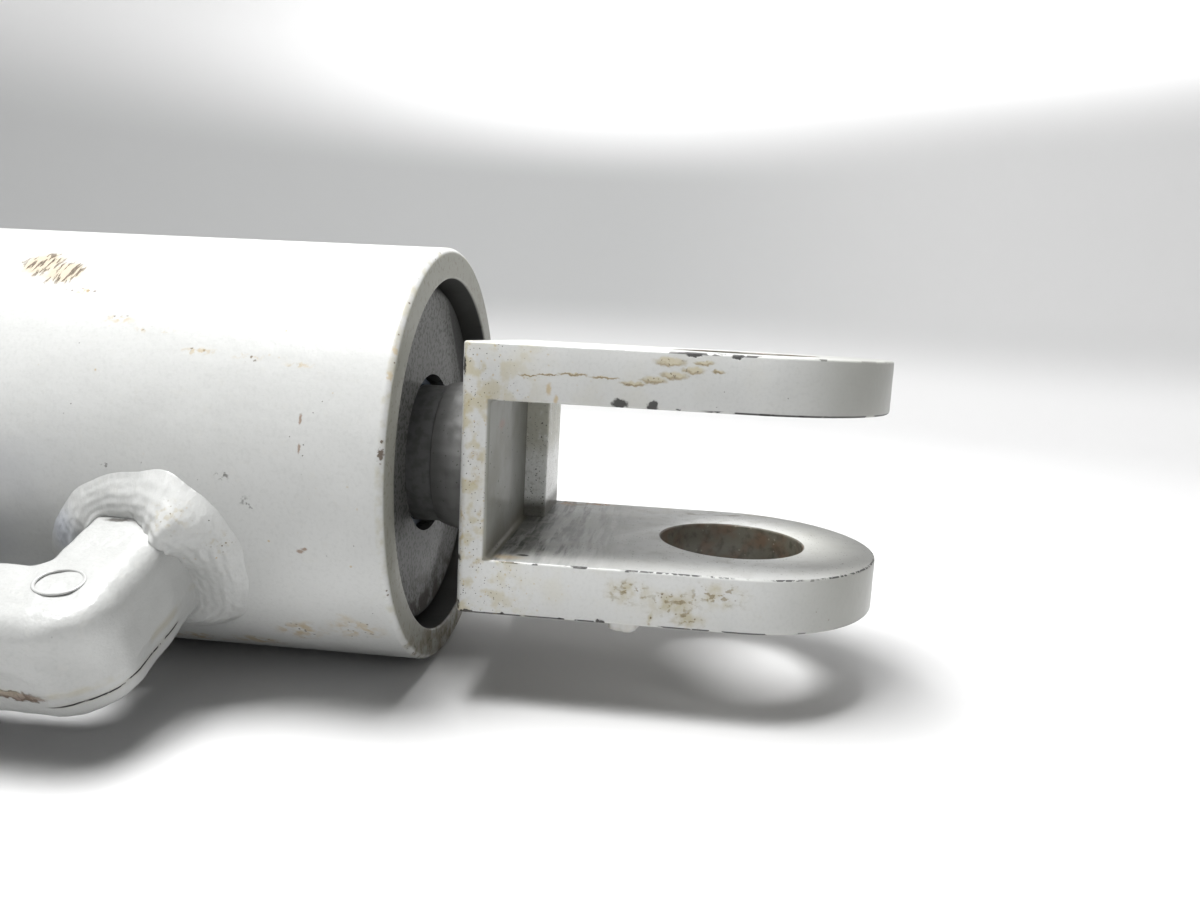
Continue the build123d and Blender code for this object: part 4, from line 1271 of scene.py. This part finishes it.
ring_grain = (1, 0.3, 0.3)
node_looks = {
    "gland": gland_paint(),
    "base_cap": plain,
    "piston_rod": rod_finish(),
    "piston": metal("ductile_iron_look", (0.33, 0.33, 0.32), 0.45, (3, 0.4, 0.4)),
    "piston_nut": metal("nut_steel_look", (0.42, 0.41, 0.39), 0.4, ring_grain),
    "gland_retaining_ring": metal("wire_steel_look", (0.5, 0.5, 0.49), 0.3, ring_grain),
    "piston_seal": moulded("piston_seal_look", (0.02, 0.12, 0.22), 0.4),
    "rod_seal": moulded("rod_seal_look", (0.03, 0.16, 0.26), 0.4),
    "rod_wiper": moulded("rod_wiper_look", (0.02, 0.05, 0.09), 0.45),
    "piston_seal_energizer": moulded("energizer_look", (0.012, 0.012, 0.012), 0.5),
    "piston_o_ring": moulded("piston_o_ring_look", (0.013, 0.013, 0.013), 0.5),
    "gland_o_ring": moulded("gland_o_ring_look", (0.014, 0.014, 0.014), 0.5),
    "gland_backup_ring": moulded("backup_ring_look", (0.6, 0.58, 0.5), 0.4),
    "rod_bushing": moulded("bushing_look", (0.05, 0.09, 0.06), 0.5),
    "piston_wear_ring_front": moulded("front_wear_ring_look", (0.05, 0.09, 0.06), 0.5),
    "piston_wear_ring_rear": moulded("rear_wear_ring_look", (0.05, 0.09, 0.06), 0.5),
}
for node_name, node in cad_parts.items():
    node.data.materials.clear()
    node.data.materials.append(node_looks.get(node_name, plain))

# ------------------------------------------------------------------ stage, light and camera
def build_stage():
    """A pale bowl: flat round the object, then rising on every side, with painted shade across its sweep
    and painted light on its wall.
    """
    middle_x = 330.0
    flat_radius = 650
    sweep_radius = 600
    outline = [(radius, 0.0) for radius in (2, 60, 200, 400, flat_radius)]
    for degrees in range(6, 91, 6):
        angle = math.radians(degrees)
        radius = flat_radius + sweep_radius * math.sin(angle)
        outline.append((radius, sweep_radius - sweep_radius * math.cos(angle)))
    wall_radius = flat_radius + sweep_radius
    outline += [(wall_radius, 900), (wall_radius, 1300)]
    rings = []
    for radius, rise in outline:
        ring = []
        for angle in turns(96):
            ring.append((middle_x + radius * math.cos(angle), radius * math.sin(angle), FLOOR + rise))
        rings.append(ring)
    bowl = skin("stage_sweep", rings, capped=True, sharp_above=80)
    lid = max(bowl.data.polygons, key=lambda face: face.center.z)
    form = bmesh.new()
    form.from_mesh(bowl.data)
    form.faces.ensure_lookup_table()
    bmesh.ops.delete(form, geom=[form.faces[lid.index]], context="FACES_ONLY")
    bmesh.ops.reverse_faces(form, faces=form.faces)
    form.to_mesh(bowl.data)
    form.free()
    look = Look("stage_paper")
    look.base((0.56, 0.56, 0.56), 0.6)
    look.layer(look.step(look.z, -30, 60), (0.55, 0.55, 0.55))
    # Painted shade: a grey band across the rising sweep, less dark towards +X; painted light on the wall
    # above it towards +X
    band = look.both(look.step(look.z, -20, 80), look.step(look.z, 470, 260))
    look.layer(band, (0.33, 0.333, 0.333), strength=0.95)
    look.layer(look.both(look.step(look.z, 260, 470), look.step(look.x, -500, 300)), (0.95, 0.95, 0.95))
    look.layer(look.both(band, look.step(look.x, 300, 900)), (0.42, 0.42, 0.42))
    look.raise_by(look.noise(0.02, 2), 0.1)
    bowl.data.materials.append(look.finish())


def area_light(name, place, aim, size, power):
    """A rectangular soft lamp at a place, aimed at a point."""
    lamp = bpy.data.lights.new(name, "AREA")
    lamp.shape = "RECTANGLE"
    lamp.size, lamp.size_y = size[0] * MM, size[1] * MM
    lamp.energy = power
    holder = bpy.data.objects.new(name, lamp)
    holder.location = Vector(place) * MM
    holder.rotation_euler = (Vector(aim) - Vector(place)).to_track_quat("-Z", "Y").to_euler()
    scene.collection.objects.link(holder)
    holder.visible_camera = False


build_stage()
area_light("overhead_light", (240, -100, 850), (400, 0, 0), (460, 400), 14.5)
area_light("front_fill_light", (520, -900, 420), (420, 0, 0), (700, 500), 0.5)
area_light("backdrop_light", (420, 500, 1150), (420, 1500, 420), (1400, 400), 9.0)

world = bpy.data.worlds.new("studio_world")
world.use_nodes = True
sky = world.node_tree.nodes["Background"]
sky.inputs["Color"].default_value = (0.95, 0.97, 1.0, 1)
sky.inputs["Strength"].default_value = 0.03
scene.world = world

# The camera's place, its turns in radians and its lens
CAMERA_PLACE = Vector((435.97, -179.53, 28.04))
YAW, PITCH, ROLL = 0.084654, 0.138566, 0.051785
CAMERA_LENS = 24.99
camera_data = bpy.data.cameras.new("camera")
camera_data.sensor_width = 36.0
camera_data.lens = CAMERA_LENS
camera_data.clip_start = 0.005
camera_data.clip_end = 20.0
camera_data.dof.use_dof = False
camera = bpy.data.objects.new("camera", camera_data)
scene.collection.objects.link(camera)
level_right = Vector((math.cos(YAW), math.sin(YAW), 0))
level_ahead = Vector((-math.sin(YAW), math.cos(YAW), 0))
straight_up = Vector((0, 0, 1))
ahead = level_ahead * math.cos(PITCH) - straight_up * math.sin(PITCH)
tipped_up = straight_up * math.cos(PITCH) + level_ahead * math.sin(PITCH)
right = level_right * math.cos(ROLL) + tipped_up * math.sin(ROLL)
up = tipped_up * math.cos(ROLL) - level_right * math.sin(ROLL)
turned = Matrix((right, up, -ahead)).transposed()
camera.matrix_world = Matrix.Translation(CAMERA_PLACE * MM) @ turned.to_4x4()
scene.camera = camera
scene.view_settings.view_transform = "Standard"
scene.view_settings.look = "Medium High Contrast"
